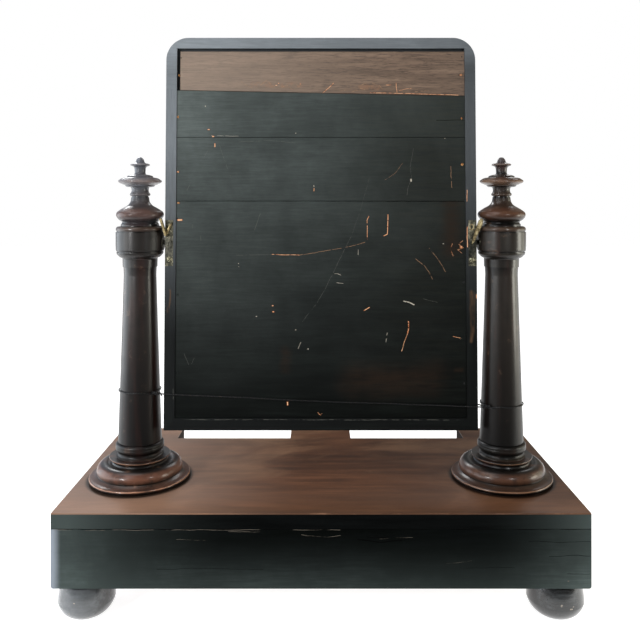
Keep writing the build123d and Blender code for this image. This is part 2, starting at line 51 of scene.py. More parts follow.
def setCamera():
    data = bpy.data.cameras.new("photoCamera")
    data.lens = camera["lens"]
    data.sensor_width = 36
    data.shift_x, data.shift_y = camera["shift"]
    data.clip_end = 30
    eye = bpy.data.objects.new("photoCamera", data)
    eye.location = camera["place"]
    eye.rotation_euler = (math.radians(90), 0, math.radians(180))
    bpy.context.scene.collection.objects.link(eye)
    bpy.context.scene.camera = eye


setCamera()


def rgb(red, green, blue):
    # a colour as read off a screen, for a node socket
    def one(value):
        value /= 255
        return value / 12.92 if value <= 0.04045 else ((value + 0.055) / 1.055) ** 2.4

    return (one(red), one(green), one(blue), 1)


class Network:
    # a node tree, with short ways to add to it
    def __init__(self, tree, place=None):
        self.tree = tree
        self.place = place

    def node(self, kind, **settings):
        made = self.tree.nodes.new(kind)
        for key, value in settings.items():
            setattr(made, key, value)
        return made

    def join(self, value, socket):
        # a socket is linked, and a number or colour is written in
        if isinstance(value, bpy.types.NodeSocket):
            self.tree.links.new(value, socket)
        elif value is not None:
            socket.default_value = value

    def fill(self, made, **values):
        # fixed values by the names of their sockets
        for key, value in values.items():
            made.inputs[key].default_value = value

    def calc(self, operation, first, second=None, third=None, clamp=False):
        made = self.node("ShaderNodeMath", operation=operation, use_clamp=clamp)
        for socket, value in zip(made.inputs, (first, second, third)):
            self.join(value, socket)
        return made.outputs[0]

    def times(self, first, *others):
        for other in others:
            first = self.calc("MULTIPLY", first, other)
        return first

    def plus(self, first, second):
        return self.calc("ADD", first, second)

    def less(self, first, second):
        return self.calc("SUBTRACT", first, second)

    def most(self, first, second):
        return self.calc("MAXIMUM", first, second)

    def scaled(self, value, by, start):
        return self.calc("MULTIPLY_ADD", value, by, start)

    def vector(self, operation, first, second=None, scale=None):
        made = self.node("ShaderNodeVectorMath", operation=operation)
        self.join(first, made.inputs[0])
        self.join(second, made.inputs[1])
        if scale is not None:
            self.join(scale, made.inputs["Scale"])
        return made.outputs["Value" if operation in ("LENGTH", "DOT_PRODUCT") else "Vector"]

    def axes(self, coords=None):
        made = self.node("ShaderNodeSeparateXYZ")
        self.join(coords or self.place, made.inputs[0])
        return made.outputs

    def merged(self, x, y, z):
        made = self.node("ShaderNodeCombineXYZ")
        for socket, value in zip(made.inputs, (x, y, z)):
            self.join(value, socket)
        return made.outputs[0]

    def mapped(self, scale=(1, 1, 1), turn=(0, 0, 0), shift=(0, 0, 0), coords=None):
        made = self.node("ShaderNodeMapping")
        self.join(coords or self.place, made.inputs["Vector"])
        self.fill(made, Scale=scale, Rotation=turn, Location=shift)
        return made.outputs[0]

    def noise(self, scale, coords=None, detail=4, rough=0.55, warp=0.0, result="Fac"):
        made = self.node("ShaderNodeTexNoise")
        self.join(coords or self.place, made.inputs["Vector"])
        self.fill(made, Scale=scale, Detail=detail, Roughness=rough, Distortion=warp)
        return made.outputs[result]

    def spots(self, scale):
        made = self.node("ShaderNodeTexVoronoi")
        self.join(self.place, made.inputs["Vector"])
        self.fill(made, Scale=scale)
        return made.outputs["Distance"]

    def step(self, value, low, high, lowOut=0.0, highOut=1.0, smooth=True):
        kind = "SMOOTHSTEP" if smooth else "LINEAR"
        made = self.node("ShaderNodeMapRange", interpolation_type=kind)
        self.join(value, made.inputs["Value"])
        self.fill(made, **{"From Min": low, "From Max": high, "To Min": lowOut, "To Max": highOut})
        return made.outputs[0]

    def ramp(self, value, stops):
        made = self.node("ShaderNodeValToRGB")
        marks = made.color_ramp.elements
        marks.remove(marks[1])
        marks[0].position, marks[0].color = stops[0]
        for spot, colour in stops[1:]:
            marks.new(spot).color = colour
        self.join(value, made.inputs[0])
        return made.outputs[0]

    def mix(self, amount, first, second, mode="MIX"):
        made = self.node("ShaderNodeMix", data_type="RGBA", blend_type=mode)
        self.join(amount, made.inputs[0])
        self.join(first, made.inputs[6])
        self.join(second, made.inputs[7])
        return made.outputs[2]

    def bump(self, height, strength, distance):
        made = self.node("ShaderNodeBump")
        self.join(height, made.inputs["Height"])
        self.fill(made, Strength=strength, Distance=distance)
        return made.outputs[0]


class Finish(Network):
    # one material: its colour, roughness and bump, and fixed values for its gloss
    fixed = {
        "metal": "Metallic",
        "shine": "Specular IOR Level",
        "coat": "Coat Weight",
        "coatRough": "Coat Roughness",
    }

    def __init__(self, name):
        self.material = bpy.data.materials.new(name)
        self.material.use_nodes = True
        super().__init__(self.material.node_tree)
        self.tree.nodes.clear()
        self.out = self.node("ShaderNodeOutputMaterial")
        self.shader = self.node("ShaderNodeBsdfPrincipled")
        self.join(self.shader.outputs[0], self.out.inputs[0])
        self.place = self.node("ShaderNodeTexCoord").outputs["Object"]

    def finish(self, colour, roughness, normal=None, **gloss):
        self.join(colour, self.shader.inputs["Base Color"])
        self.join(roughness, self.shader.inputs["Roughness"])
        self.join(normal, self.shader.inputs["Normal"])
        for key, value in gloss.items():
            self.shader.inputs[self.fixed[key]].default_value = value
        return self.material


# Daylit room: white behind the piece, dim behind the camera, brighter on the camera's left
room = {
    "ambient": 0.36,
    "whiteSide": 0.12,
    "dimSide": 0.05,
    "leftWall": 0.58,
    "rightWall": 0.2,
    "cool": rgb(226, 238, 255),
    "warm": rgb(255, 244, 226),
}
lamps = {
    "leftSpot": {"place": (0.73, 0.84, 0.5), "size": 0.18, "power": 5.2},
    "rightSpot": {"place": (-0.37, 0.66, 0.52), "size": 0.08, "power": 0.9},
    "leftWindow": {"place": (1.35, -0.05, 0.3), "size": 1.3, "power": 12.0, "tint": (0.86, 0.94, 1.0)},
    "leftLow": {"place": (1.4, 0.8, 0.4), "size": 0.6, "power": 2.8},
    "rightWindow": {"place": (-1.25, 0.0, 0.3), "size": 1.0, "power": 4.0, "tint": (1.0, 0.98, 0.78)},
    "highLeft": {"place": (0.85, 1.4, 1.7), "size": 1.0, "power": 6.5},
    "rightLow": {"place": (-1.2, 0.28, 0.3), "size": 0.4, "power": 3.2, "tint": (1.0, 0.98, 0.88)},
    "overhead": {"place": (0.6, 0.15, 1.8), "size": 1.2, "power": 7.0},
    "farLeft": {"place": (0.95, -1.7, 1.7), "size": 0.8, "power": 15.0},
    "frontFill": {"place": (-0.8, -1.8, 1.8), "size": 0.9, "power": 8.0},
}


def wallLight(sky, sides, across, along, strength):
    # what one side wall adds, from none behind the camera
    return sky.times(sky.step(sides["X"], *across, 0, strength), sky.step(sides["Y"], *along))


def setSky():
    world = bpy.data.worlds.new("dayRoom")
    world.use_nodes = True
    world.node_tree.nodes.clear()
    bpy.context.scene.world = world
    sky = Network(world.node_tree)
    out = sky.node("ShaderNodeOutputWorld")
    back = sky.node("ShaderNodeBackground")
    sky.join(back.outputs[0], out.inputs[0])
    sides = sky.axes(sky.node("ShaderNodeTexCoord").outputs["Generated"])
    rays = sky.node("ShaderNodeLightPath").outputs
    plain = sky.most(rays["Is Camera Ray"], rays["Is Transmission Ray"])
    level = sky.step(sides["Y"], -0.25, 0.55, room["whiteSide"], room["dimSide"])
    level = sky.plus(level, wallLight(sky, sides, (0.02, 0.6), (0.85, 0.1), room["leftWall"]))
    level = sky.plus(level, wallLight(sky, sides, (-0.1, -0.7), (0.7, 0.0), room["rightWall"]))
    level = sky.scaled(rays["Is Glossy Ray"], sky.less(level, room["ambient"]), room["ambient"])
    tint = sky.mix(sky.step(sides["X"], -0.6, 0.6), room["warm"], room["cool"])
    sky.join(sky.mix(plain, tint, (1, 1, 1, 1)), back.inputs["Color"])
    sky.join(sky.scaled(plain, sky.less(1.0, level), level), back.inputs["Strength"])


def setLamps():
    aim = Vector((0, 0, 0.25))  # the middle of the piece
    for name, lamp in lamps.items():
        data = bpy.data.lights.new(name, "AREA")
        data.shape = "DISK"
        data.size = lamp["size"]
        data.energy = lamp["power"]
        data.color = lamp.get("tint", (1, 1, 1))
        light = bpy.data.objects.new(name, data)
        light.location = lamp["place"]
        light.rotation_euler = (aim - light.location).to_track_quat("-Z", "Y").to_euler()
        bpy.context.scene.collection.objects.link(light)


# The white paper ends before the camera, so that polish mirrors a dark floor there
paper = {
    "size": 12,
    "glow": 0.9,
    "tones": (rgb(196, 197, 198), rgb(206, 206, 206)),
    "dim": rgb(40, 40, 40),
    "ends": (0.18, 0.55),
}


def setFloor():
    clearSelection()
    bpy.ops.mesh.primitive_plane_add(size=paper["size"], location=(0, 0, 0))
    floor = bpy.context.object
    floor.name = "floor"
    f = Finish("paperFloor")
    rays = f.node("ShaderNodeLightPath").outputs
    plain = f.most(rays["Is Camera Ray"], rays["Is Transmission Ray"])
    near = f.step(f.axes()["Y"], *paper["ends"], 1.0, 0.08)
    glow = f.node("ShaderNodeEmission")
    glow.inputs["Color"].default_value = (1, 1, 1, 1)
    shown = f.most(plain, f.times(rays["Is Glossy Ray"], near))
    f.join(f.times(shown, paper["glow"]), glow.inputs["Strength"])
    both = f.node("ShaderNodeAddShader")
    f.join(f.shader.outputs[0], both.inputs[0])
    f.join(glow.outputs[0], both.inputs[1])
    f.join(both.outputs[0], f.out.inputs[0])
    tone = f.mix(f.noise(90, detail=3), *paper["tones"])
    dimmed = f.times(rays["Is Glossy Ray"], f.less(1.0, near))
    f.finish(f.mix(dimmed, tone, paper["dim"]), 0.9, shine=0.0)
    floor.data.materials.append(f.material)


def clearSelection():
    bpy.ops.object.select_all(action="DESELECT")


setSky()
setLamps()
setFloor()
print("room and floor set")


def alongFibres(along, length, width):
    return tuple(length if axis == along else width for axis in "xyz")


def grain(f, along, scale, shift=(0, 0, 0)):
    # coordinates squeezed across the fibres, so that noise runs along them
    return f.mapped(alongFibres(along, scale, scale * 14), shift=shift)


def fibres(f, along, scale, detail=4, rough=0.55):
    return f.noise(1.0, grain(f, along, scale), detail=detail, rough=rough)


def woodColour(f, along, tones, scale=6.0, shift=(0, 0, 0), figure=0.5):
    # dark, middle and light of one wood by its figure, and its fine grain for the bump
    broad = f.noise(0.35, grain(f, along, scale, shift), detail=5, rough=0.6, warp=0.6)
    fine = f.noise(1.6, grain(f, along, scale, shift), detail=6, rough=0.7)
    blend = f.plus(f.times(broad, figure), f.times(fine, 1 - figure))
    return f.ramp(blend, list(zip((0.32, 0.5, 0.68), tones))), fine


def pores(f, along, scale=42.0):
    lines = f.noise(1.0, f.mapped(alongFibres(along, scale, scale * 22)), detail=2)
    return f.step(lines, 0.58, 0.7)


def scratchGroup():
    # how near a point is to a straight scratch: 1 on it, 0 beyond its width; the flat place keeps
    # the strongest mark so far in its y, so that a long chain of them stays light
    tree = bpy.data.node_groups.new("scratchLine", "ShaderNodeTree")
    for name, kind in (("State", "Vector"), ("From", "Vector"), ("To", "Vector"), ("Width", "Float")):
        tree.interface.new_socket(name, in_out="INPUT", socket_type="NodeSocket" + kind)
    tree.interface.new_socket("State", in_out="OUTPUT", socket_type="NodeSocketVector")
    g = Network(tree)
    given = g.node("NodeGroupInput").outputs
    result = g.node("NodeGroupOutput").inputs
    state = g.axes(given["State"])
    reach = g.vector("SUBTRACT", g.merged(state["X"], None, state["Z"]), given["From"])
    run = g.vector("SUBTRACT", given["To"], given["From"])
    ahead, whole = g.vector("DOT_PRODUCT", reach, run), g.vector("DOT_PRODUCT", run, run)
    share = g.calc("DIVIDE", ahead, whole, clamp=True)
    off = g.vector("LENGTH", g.vector("SUBTRACT", reach, g.vector("SCALE", run, scale=share)))
    here = g.calc("SUBTRACT", 1.0, g.calc("DIVIDE", off, given["Width"]), clamp=True)
    g.join(g.merged(state["X"], g.most(here, state["Y"]), state["Z"]), result[0])
    return tree


scratchLine = scratchGroup()


def scratches(f, coords, lines, thin=0.6):
    # the strongest of several scratches, each a list of points in millimetres and a width
    state = coords
    for points, width in lines:
        for start, end in zip(points, points[1:]):
            made = f.node("ShaderNodeGroup", node_tree=scratchLine)
            f.join(state, made.inputs["State"])
            f.fill(made, From=(start[0] / 1000, 0, start[1] / 1000), To=(end[0] / 1000, 0, end[1] / 1000))
            f.fill(made, Width=width * thin / 1000)
            state = made.outputs[0]
    return f.axes(state)["Y"]


def blots(f, coords, spots):
    # soft rounded marks: (x, z, half width, half height) in millimetres
    lines = []
    for x, z, wide, high in spots:
        run, rise = max(wide - high, 0.05), max(high - wide, 0)
        lines.append(([(x - run, z - rise), (x + run, z + rise)], min(wide, high)))
    return scratches(f, coords, lines)


def flatCoords(f, source, wobble=0.0007, scale=120):
    # the plane of a board, a little uneven so that no scratch is ruled
    shake = f.noise(scale, source, detail=3, rough=0.5, result="Color")
    off = f.vector("SCALE", f.vector("SUBTRACT", shake, (0.5, 0.5, 0.5)), scale=wobble * 2)
    return f.vector("MULTIPLY", f.vector("ADD", source, off), (1, 0, 1))


# The glass hangs on its pivots and leans, and its marks are measured from the pivot line
hang = {"pivot": (0, 0.042, 0.393), "lean": 2.0}


def hungCoords(f):
    lean = math.radians(hang["lean"])
    shift = -(Matrix.Rotation(-lean, 3, "X") @ Vector(hang["pivot"]))
    return f.mapped((1, 1, 1), (-lean, 0, 0), tuple(shift))


# Mahogany of the top: reddish, dull, dirty along the back edge, with painted glare on its left and painted
# shade on its right
topWood = {
    "wood": (rgb(42, 24, 14), rgb(74, 46, 29), rgb(114, 74, 49)),
    "golden": rgb(146, 110, 82),
    "dirt": rgb(34, 22, 16),
    "pore": rgb(34, 20, 14),
    "soot": rgb(30, 24, 20),
    "paintedGlare": rgb(176, 150, 134),
    "rubbed": rgb(158, 114, 86),
    "bare": rgb(134, 100, 78),
    # painted shadow round the foot of each column
    "baseShadow": rgb(9, 7, 6),
    "shade": rgb(12, 9, 7),
    "black": [(0.35, rgb(2, 3, 3)), (0.6, rgb(7, 9, 9))],
    "rough": 0.28,
    "columns": (0.212, 0.042, 0.0573),  # x, y and foot radius
    "baseShadowRing": (0.006, 0.001),
    # where each effect starts and ends, in metres
    "sootY": (0.134, 0.144),
    "paintedGlareX": (0.01, 0.2),
    "paintedShadeX": (0.0, -0.14),
    "rubbedY": (0.05, 0.125),
    "openingX": (0.262, 0.258),
    "openingY": ((-0.1388, -0.1384), (0.136, 0.134)),
    "openingZ": (0.1177, 0.117),
    "blackY": (0.1376, 0.1386),
    "blackZ": (0.1172, 0.1164),
    "bareY": (0.1372, 0.138),
    "bareZ": (0.1166, 0.1174),
}
endDust = {"tone": rgb(92, 103, 101), "west": (0.05, 0.262), "east": (-0.14, -0.284)}


def dustAtEnds(f, sides):
    # dust on the black back: heavy at the box's ends, none in its middle
    west = f.calc("POWER", f.step(sides["X"], *endDust["west"], smooth=False), 3)
    east = f.calc("POWER", f.step(sides["X"], *endDust["east"], smooth=False), 3)
    return f.scaled(west, 0.48, f.times(east, 0.66))


def aroundColumns(f, sides):
    # distance from the axis of the nearer column
    x, y = topWood["columns"][:2]
    across = f.less(f.calc("ABSOLUTE", sides["X"]), x)
    deep = f.less(sides["Y"], y)
    return f.calc("SQRT", f.plus(f.times(across, across), f.times(deep, deep)))


def topFinish():
    f = Finish("topMahogany")
    colour, fine = woodColour(f, "x", topWood["wood"], scale=5.0)
    dark, middle, light = topWood["wood"]
    flame = f.noise(3.2, f.mapped((1.0, 3.4, 1.0), shift=(0.3, 0.1, 0)), detail=3, warp=1.4)
    colour = f.mix(f.step(flame, 0.45, 0.68, 0, 0.45), colour, light)
    stretched = f.mapped((1.0, 2.2, 1.0), shift=(0.62, 0.2, 0))
    patch = f.noise(4.6, stretched, detail=5, rough=0.6, warp=0.8)
    colour = f.mix(f.step(patch, 0.48, 0.7, 0, 0.5), colour, topWood["golden"])
    pore = pores(f, "x")
    colour = f.mix(f.times(pore, 0.5), colour, topWood["pore"])
    cloud = f.noise(9, detail=5, rough=0.6)
    colour = f.mix(f.step(cloud, 0.5, 0.75, 0, 0.5), colour, topWood["dirt"])
    sides = f.axes()
    edge = f.noise(34, detail=5)
    soot = f.step(f.scaled(edge, 0.012, sides["Y"]), *topWood["sootY"], 0, 0.7)
    colour = f.mix(soot, colour, topWood["soot"])
    # painted glare: the top is paler towards the camera's left, where the window's light catches it; painted
    # shade darkens it towards the right
    colour = f.mix(f.step(sides["X"], *topWood["paintedGlareX"], 0, 0.34), colour, topWood["paintedGlare"])
    colour = f.mix(f.step(sides["X"], *topWood["paintedShadeX"], 0, 0.42), colour, dark)
    near = f.times(f.step(sides["Y"], *topWood["rubbedY"]), f.step(patch, 0.4, 0.6, 0.5, 1.0))
    colour = f.mix(f.times(near, 0.34), colour, topWood["rubbed"])
    # the openings' sides are dark inside
    across = f.step(f.calc("ABSOLUTE", sides["X"]), *topWood["openingX"])
    front, back = (f.step(sides["Y"], *reach) for reach in topWood["openingY"])
    inside = f.times(f.step(sides["Z"], *topWood["openingZ"]), across)
    inside = f.times(inside, f.times(front, back))
    colour = f.mix(f.times(inside, 0.9), colour, topWood["shade"])
    # painted shadow: a dark line round the foot of each column, for its contact shadow and dark reflection
    ring = [topWood["columns"][2] + more for more in topWood["baseShadowRing"]]
    colour = f.mix(f.step(aroundColumns(f, sides), *ring, 0, 0.85), colour, topWood["baseShadow"])
    # a black stained edge below the top's arris, which is rubbed bare in places
    black = f.ramp(f.noise(1.2, grain(f, "x", 9)), topWood["black"])
    black = f.mix(dustAtEnds(f, sides), black, endDust["tone"])
    side = f.times(f.step(sides["Z"], *topWood["blackZ"]), f.step(sides["Y"], *topWood["blackY"]))
    colour = f.mix(side, colour, black)
    bare = f.times(f.step(sides["Z"], *topWood["bareZ"]), f.step(edge, 0.52, 0.66))
    bare = f.times(bare, f.step(sides["Y"], *topWood["bareY"]))
    colour = f.mix(f.times(bare, 0.7), colour, topWood["bare"])
    rough = f.scaled(cloud, 0.3, topWood["rough"])
    height = f.less(f.times(fine, 0.4), pore)
    dull = f.most(side, inside)
    f.join(f.scaled(dull, -0.3, 0.3), f.shader.inputs["Coat Weight"])
    bumped = f.bump(height, 0.22, 0.0004)
    return f.finish(colour, f.scaled(dull, 0.3, rough), bumped, shine=0.04, coatRough=0.32)


# Black stained back of the box, with its drying splits and a painted sheen on its left end
boxBlack = {
    "deep": rgb(2, 3, 3),
    "middle": rgb(5, 7, 6),
    "thin": rgb(10, 13, 13),
    "gap": rgb(2, 2, 2),
    "pale": rgb(118, 110, 100),
    "paintedSheenEnd": rgb(150, 158, 168),
    "paintedSheenX": (0.273, 0.283),
    "dustZ": (0.1, 0.04),
    "joint": [([(-281, 101.9), (281, 101.6)], 0.9)],
    "splits": [
        ([(-279, 74), (-262, 74.5), (-236, 73.5)], 0.5), ([(-279, 89), (-250, 88.4), (-215, 89)], 0.45),
        ([(-279, 55), (-255, 55.6)], 0.4), ([(-110, 96), (-60, 95.2), (-20, 96.4)], 0.4),
        ([(60, 60), (130, 61), (170, 60)], 0.35), ([(-38, 91), (-60, 88.6), (-84, 90)], 1.3),
        ([(-48, 93), (-70, 94)], 0.8), ([(-200, 62), (-150, 61.4)], 0.35),
    ],
    "rubs": [
        ([(-20, 100.9), (276, 100.8)], 0.55),
        ([(96, 99.6), (70, 98.4), (40, 99.5)], 0.5), ([(20, 96), (-6, 93.5), (-20, 95)], 0.5),
        ([(150, 91), (120, 90)], 0.4), ([(-60, 92), (-95, 93)], 0.35), ([(-156, 69), (-130, 66)], 0.3),
    ],
    "dots": [
        (-256.0, 48.0, 1.8, 1.6), (-120.0, 103.6, 2.4, 1.2), (-141.0, 106.8, 2.0, 1.0),
        (-96.0, 103.0, 1.6, 1.0),
    ],
}


def boxFinish():
    f = Finish("blackBack")
    tones = (boxBlack["deep"], boxBlack["middle"], boxBlack["thin"])
    colour, fine = woodColour(f, "x", tones, scale=7.0)
    brush = fibres(f, "x", 26, 3, 0.7)
    cloud = f.noise(7, detail=6, rough=0.65)
    sides = f.axes()
    haze = f.times(f.step(cloud, 0.4, 0.72), f.step(brush, 0.35, 0.7, 0.4, 1.0))
    low = f.calc("POWER", f.step(sides["Z"], *boxBlack["dustZ"], smooth=False), 2)
    dusty = f.scaled(low, 0.31, dustAtEnds(f, sides))
    dusty = f.times(dusty, f.scaled(haze, 0.7, 0.72))
    colour = f.mix(f.calc("MINIMUM", dusty, 0.95), colour, endDust["tone"])
    # painted sheen: the left end is painted pale blue-grey where light catches it
    paintedSheen = f.step(f.scaled(cloud, 0.008, sides["X"]), *boxBlack["paintedSheenX"], 0, 0.9)
    colour = f.mix(paintedSheen, colour, boxBlack["paintedSheenEnd"])
    flat = flatCoords(f, f.place, 0.0012, 60)
    joint = scratches(f, flat, boxBlack["joint"])
    split = f.most(scratches(f, flat, boxBlack["splits"]), joint)
    colour = f.mix(f.step(split, 0.1, 0.5), colour, boxBlack["gap"])
    pale = scratches(f, flat, boxBlack["rubs"])
    pale = f.times(f.step(pale, 0.2, 0.6), f.step(f.noise(55, detail=5), 0.42, 0.58))
    pale = f.most(pale, f.step(blots(f, flat, boxBlack["dots"]), 0.2, 0.5))
    colour = f.mix(f.times(pale, 0.8), colour, boxBlack["pale"])
    height = f.plus(f.times(fine, 0.5), f.times(brush, 0.5))
    height = f.less(height, f.times(split, 2.5))
    return f.finish(colour, f.scaled(brush, 0.25, 0.5), f.bump(height, 0.35, 0.0004), shine=0.02)


# The glass's back: black stain over brown wood, scratched through to bare wood
backMarks = {
    "bare": [
        ([(56.4, -13.7), (40, -14.2), (25.1, -14.3)], 0.95),
        ([(-101.2, -91.5), (-101.6, -97.6), (-100.1, -105.1)], 2.2),
        ([(-100.1, -105.1), (-96.3, -115.1), (-93.2, -125.1)], 0.8),
        ([(-55.7, 30.5), (-53.6, 25.7), (-54.1, 14.9), (-53.9, 3.8)], 1.0),
        ([(-77.9, 32.2), (-77.6, 22.0), (-77.1, 9.6), (-73.3, 7.7)], 1.4),
        ([(-49.9, -78.7), (-56.1, -75.0)], 1.6), ([(-152.5, -1.3), (-150.1, -7.6), (-153.3, -15.6)], 0.6),
        ([(-152.7, -108.3), (-161.4, -110.1)], 0.8),
        ([(-164.9, 2.0), (-159.5, -1.5), (-165.2, -5.6), (-158.8, -8.4), (-163.4, -12.2)], 0.6),
        ([(3.3, -194.9), (-0.1, -198.3)], 0.9), ([(-0.1, -198.3), (-1.4, -196.2)], 0.7),
    ],
    "tan": [
        ([(25.1, -14.3), (12.8, -12.8), (-4.6, -9.7), (-29.3, -5.5), (-40.6, -2.9), (-51.2, 0.3)], 0.75),
        ([(-124.4, -5.2), (-134.5, -17.6), (-139.8, -25.6), (-144.5, -34.1)], 0.8),
        ([(-109.5, -18.4), (-120.2, -27.1), (-124.9, -33.8), (-129.1, -42.1)], 0.8),
        ([(-151.1, 90.7), (-151.6, 78.2), (-152.4, 63.7)], 0.8),
        ([(-75.2, 73), (-86, 80), (-95, 92)], 0.4), ([(-170, 121), (-168.6, 60)], 0.5),
    ],
    "pale": [
        ([(-96.1, -67.8), (-101.5, -68.6), (-108.1, -71.6)], 2.2),
        ([(-15.7, -35.9), (-19.2, -36.1), (-23.2, -37.8)], 0.7), ([(-18.3, -46.4), (-25.8, -47.1)], 0.6),
        ([(-43.2, -8.2), (-43.2, -14.5)], 0.6), ([(23.0, -114.9), (26.4, -122.6)], 0.8),
        ([(120.6, 124.3), (96.2, 123.8)], 0.5), ([(-76.8, -104.1), (-76.0, -106.8)], 0.9),
        ([(-75.6, -110.9), (-75.0, -115.2)], 0.7),
        ([(178.7, -198.4), (174.7, -200.1), (170.4, -198.8)], 0.7),
        ([(168, -202.2), (-166, -202.6)], 0.45),
    ],
    "grey": [
        (
            [
                (-36.1, 8.7), (-28.7, -5.8), (-21.3, -20.8), (-13.2, -37.1), (-3.9, -56.0), (5.3, -71.0),
                (21.3, -90.9),
            ],
            0.75,
        ),
        ([(-56.5, 75), (-46, 38), (-36.1, 8.7)], 0.35), ([(118, 113), (112, 96), (104, 74)], 0.7),
        ([(96, 117), (60, 119), (30, 116)], 0.8), ([(148.6, 21.1), (148.6, 16.4)], 0.8),
        ([(139.4, 8.2), (139.1, 2.3)], 0.8), ([(70.1, 33.5), (74.0, 23.3), (77.6, 12.2)], 0.8),
        ([(151.7, 69.5), (155.8, 60.0)], 0.8), ([(131.6, 107.1), (136.2, 99.4)], 0.8),
        ([(157.8, -128.0), (152.4, -140.5)], 0.7),
        ([(-118.6, -64.6), (-124.9, -67.1), (-135.0, -68.9)], 0.7),
        ([(-104.9, 72.6), (-101.6, 63.9), (-100.1, 54.9)], 0.9), ([(98, -14.6), (56, -13.9)], 0.6),
        ([(-108, 110), (-104, 88), (-106, 72)], 0.6), ([(146, -133), (149, -140)], 0.6),
    ],
    "dark": [([(-134.9, 142.2), (-169.3, 142.7)], 0.6), ([(150, 48.3), (-166, 47.6)], 0.35)],
    "bareSpots": [
        (163.6, 26.2, 4.6, 2.6), (130.7, 131.5, 2.2, 1.5), (125.6, 123.4, 2.6, 2.0),
        (123.4, 113.1, 1.4, 3.0), (8.0, 61.5, 1.0, 2.6), (55.5, -72.8, 1.8, 1.4), (54.7, -80.0, 2.4, 2.0),
        (38.3, -185.1, 2.2, 3.6), (167.0, 146.3, 2.8, 2.6), (166.1, 82.2, 2.8, 2.2),
        (165.3, 46.0, 2.4, 1.6), (-164.2, 144.7, 2.2, 2.0), (-164.7, 90.8, 2.2, 2.2),
        (-162.6, -5.0, 3.4, 3.0),
    ],
    "paleSpots": [
        (134.9, 159.0, 1.4, 1.6), (8.2, 65.6, 0.9, 1.6), (95.2, -24.2, 1.2, 1.2), (94.9, -28.0, 0.9, 0.9),
        (28.9, -100.6, 1.6, 1.5), (74.4, -85.4, 1.6, 1.2), (14.6, -122.5, 1.2, 1.6),
        (-141.9, -1.4, 1.6, 1.2), (-104.9, 72.6, 2.6, 3.4), (-91.4, -202.5, 1.7, 1.1),
        (-144.8, 121.3, 1.2, 0.9), (29.3, 127.3, 1.2, 1.2), (127.0, 124.6, 1.2, 1.0),
    ],
    "holes": [
        (166.9, 27.9, 1.6, 1.8), (125.0, 122.4, 1.0, 1.2), (-164.2, 144.7, 0.9, 0.9),
        (167.0, 146.3, 0.9, 0.9),
    ],
    # each kind of scratch, its spots, the depth at which it is full, and how much it covers
    "kinds": [
        ("grey", None, 0.8, 0.5), ("tan", None, 0.6, 0.75), ("pale", "paleSpots", 0.5, 0.85),
        ("bare", "bareSpots", 0.4, 0.95),
    ],
    "rubbed": [(-84, -157, 96, 52), (40, -136, 16, 26), (-159.9, -148.3, 12, 9), (-150, 40, 30, 80)],
}
stain = {
    "wood": (rgb(3, 4, 4), rgb(7, 9, 8), rgb(17, 21, 19)),
    "haze": rgb(112, 121, 119),
    "olive": rgb(46, 44, 30),
    "dust": rgb(104, 106, 100),
    "rubbed": rgb(42, 31, 23),
    "gap": rgb(2, 2, 2),
    # from and to in metres, and how much there
    "hazeX": (-0.15, 0.165, 0.24, 1.0),
    "hazeZ": (-0.2, 0.175, 0.08, 1.0),
    "oliveX": (0.02, -0.14),
}


def within(marks, low, high):
    # the marks that touch one board, so that each board carries only its own
    def heights(mark):
        points = mark[0] if isinstance(mark[0], list) else [mark]
        return [point[1] for point in points]

    return [mark for mark in marks if any(low - 4 < z < high + 4 for z in heights(mark))]


def stained(f, along, shift):
    # black stain with brush marks, and where it lies in the hung frame
    local = hungCoords(f)
    colour, fine = woodColour(f, along, stain["wood"], scale=8.0, shift=shift)
    brush = fibres(f, along, 30, 4, 0.78)
    cloud = f.noise(8, detail=6, rough=0.62)
    height = f.plus(f.times(fine, 0.5), f.times(brush, 0.5))
    return local, colour, brush, cloud, f.bump(height, 0.4, 0.0005)


# What a scratch looks like from its edge to its middle
freshness = {
    "grey": [(0.0, rgb(24, 26, 25)), (0.5, rgb(74, 76, 72)), (0.9, rgb(120, 120, 112))],
    "tan": [(0.0, rgb(40, 30, 24)), (0.4, rgb(118, 88, 66)), (0.8, rgb(178, 142, 110))],
    "pale": [(0.0, rgb(48, 50, 44)), (0.4, rgb(120, 112, 98)), (0.8, rgb(206, 200, 186))],
    "bare": [
        (0.0, rgb(58, 32, 22)), (0.35, rgb(150, 84, 52)), (0.65, rgb(214, 146, 100)),
        (0.9, rgb(244, 206, 166)),
    ],
}


def worn(f, colour, mark, kind, full=0.4, most=0.9):
    # adds a scratch that breaks up along its way
    fibre = f.noise(260, detail=5, rough=0.7)
    depth = f.times(mark, f.scaled(fibre, 1.5, 0.25))
    return f.mix(f.step(depth, 0.08, full, 0, most), colour, f.ramp(depth, freshness[kind]))


def boardMark(f, flat, broken, kind, spots, reach):
    # all scratches and spots of one kind on a board, or None
    found = within(backMarks[kind], *reach)
    mark = None
    if found:
        mostly = f.step(broken, 0.0, 1.0, 0.18, 1.0) if kind in ("tan", "bare") else broken
        mark = f.times(scratches(f, flat, found, 0.46), mostly)
    if spots:
        dots = blots(f, flat, within(backMarks[spots], *reach))
        mark = f.most(mark, dots) if found else dots
    return mark


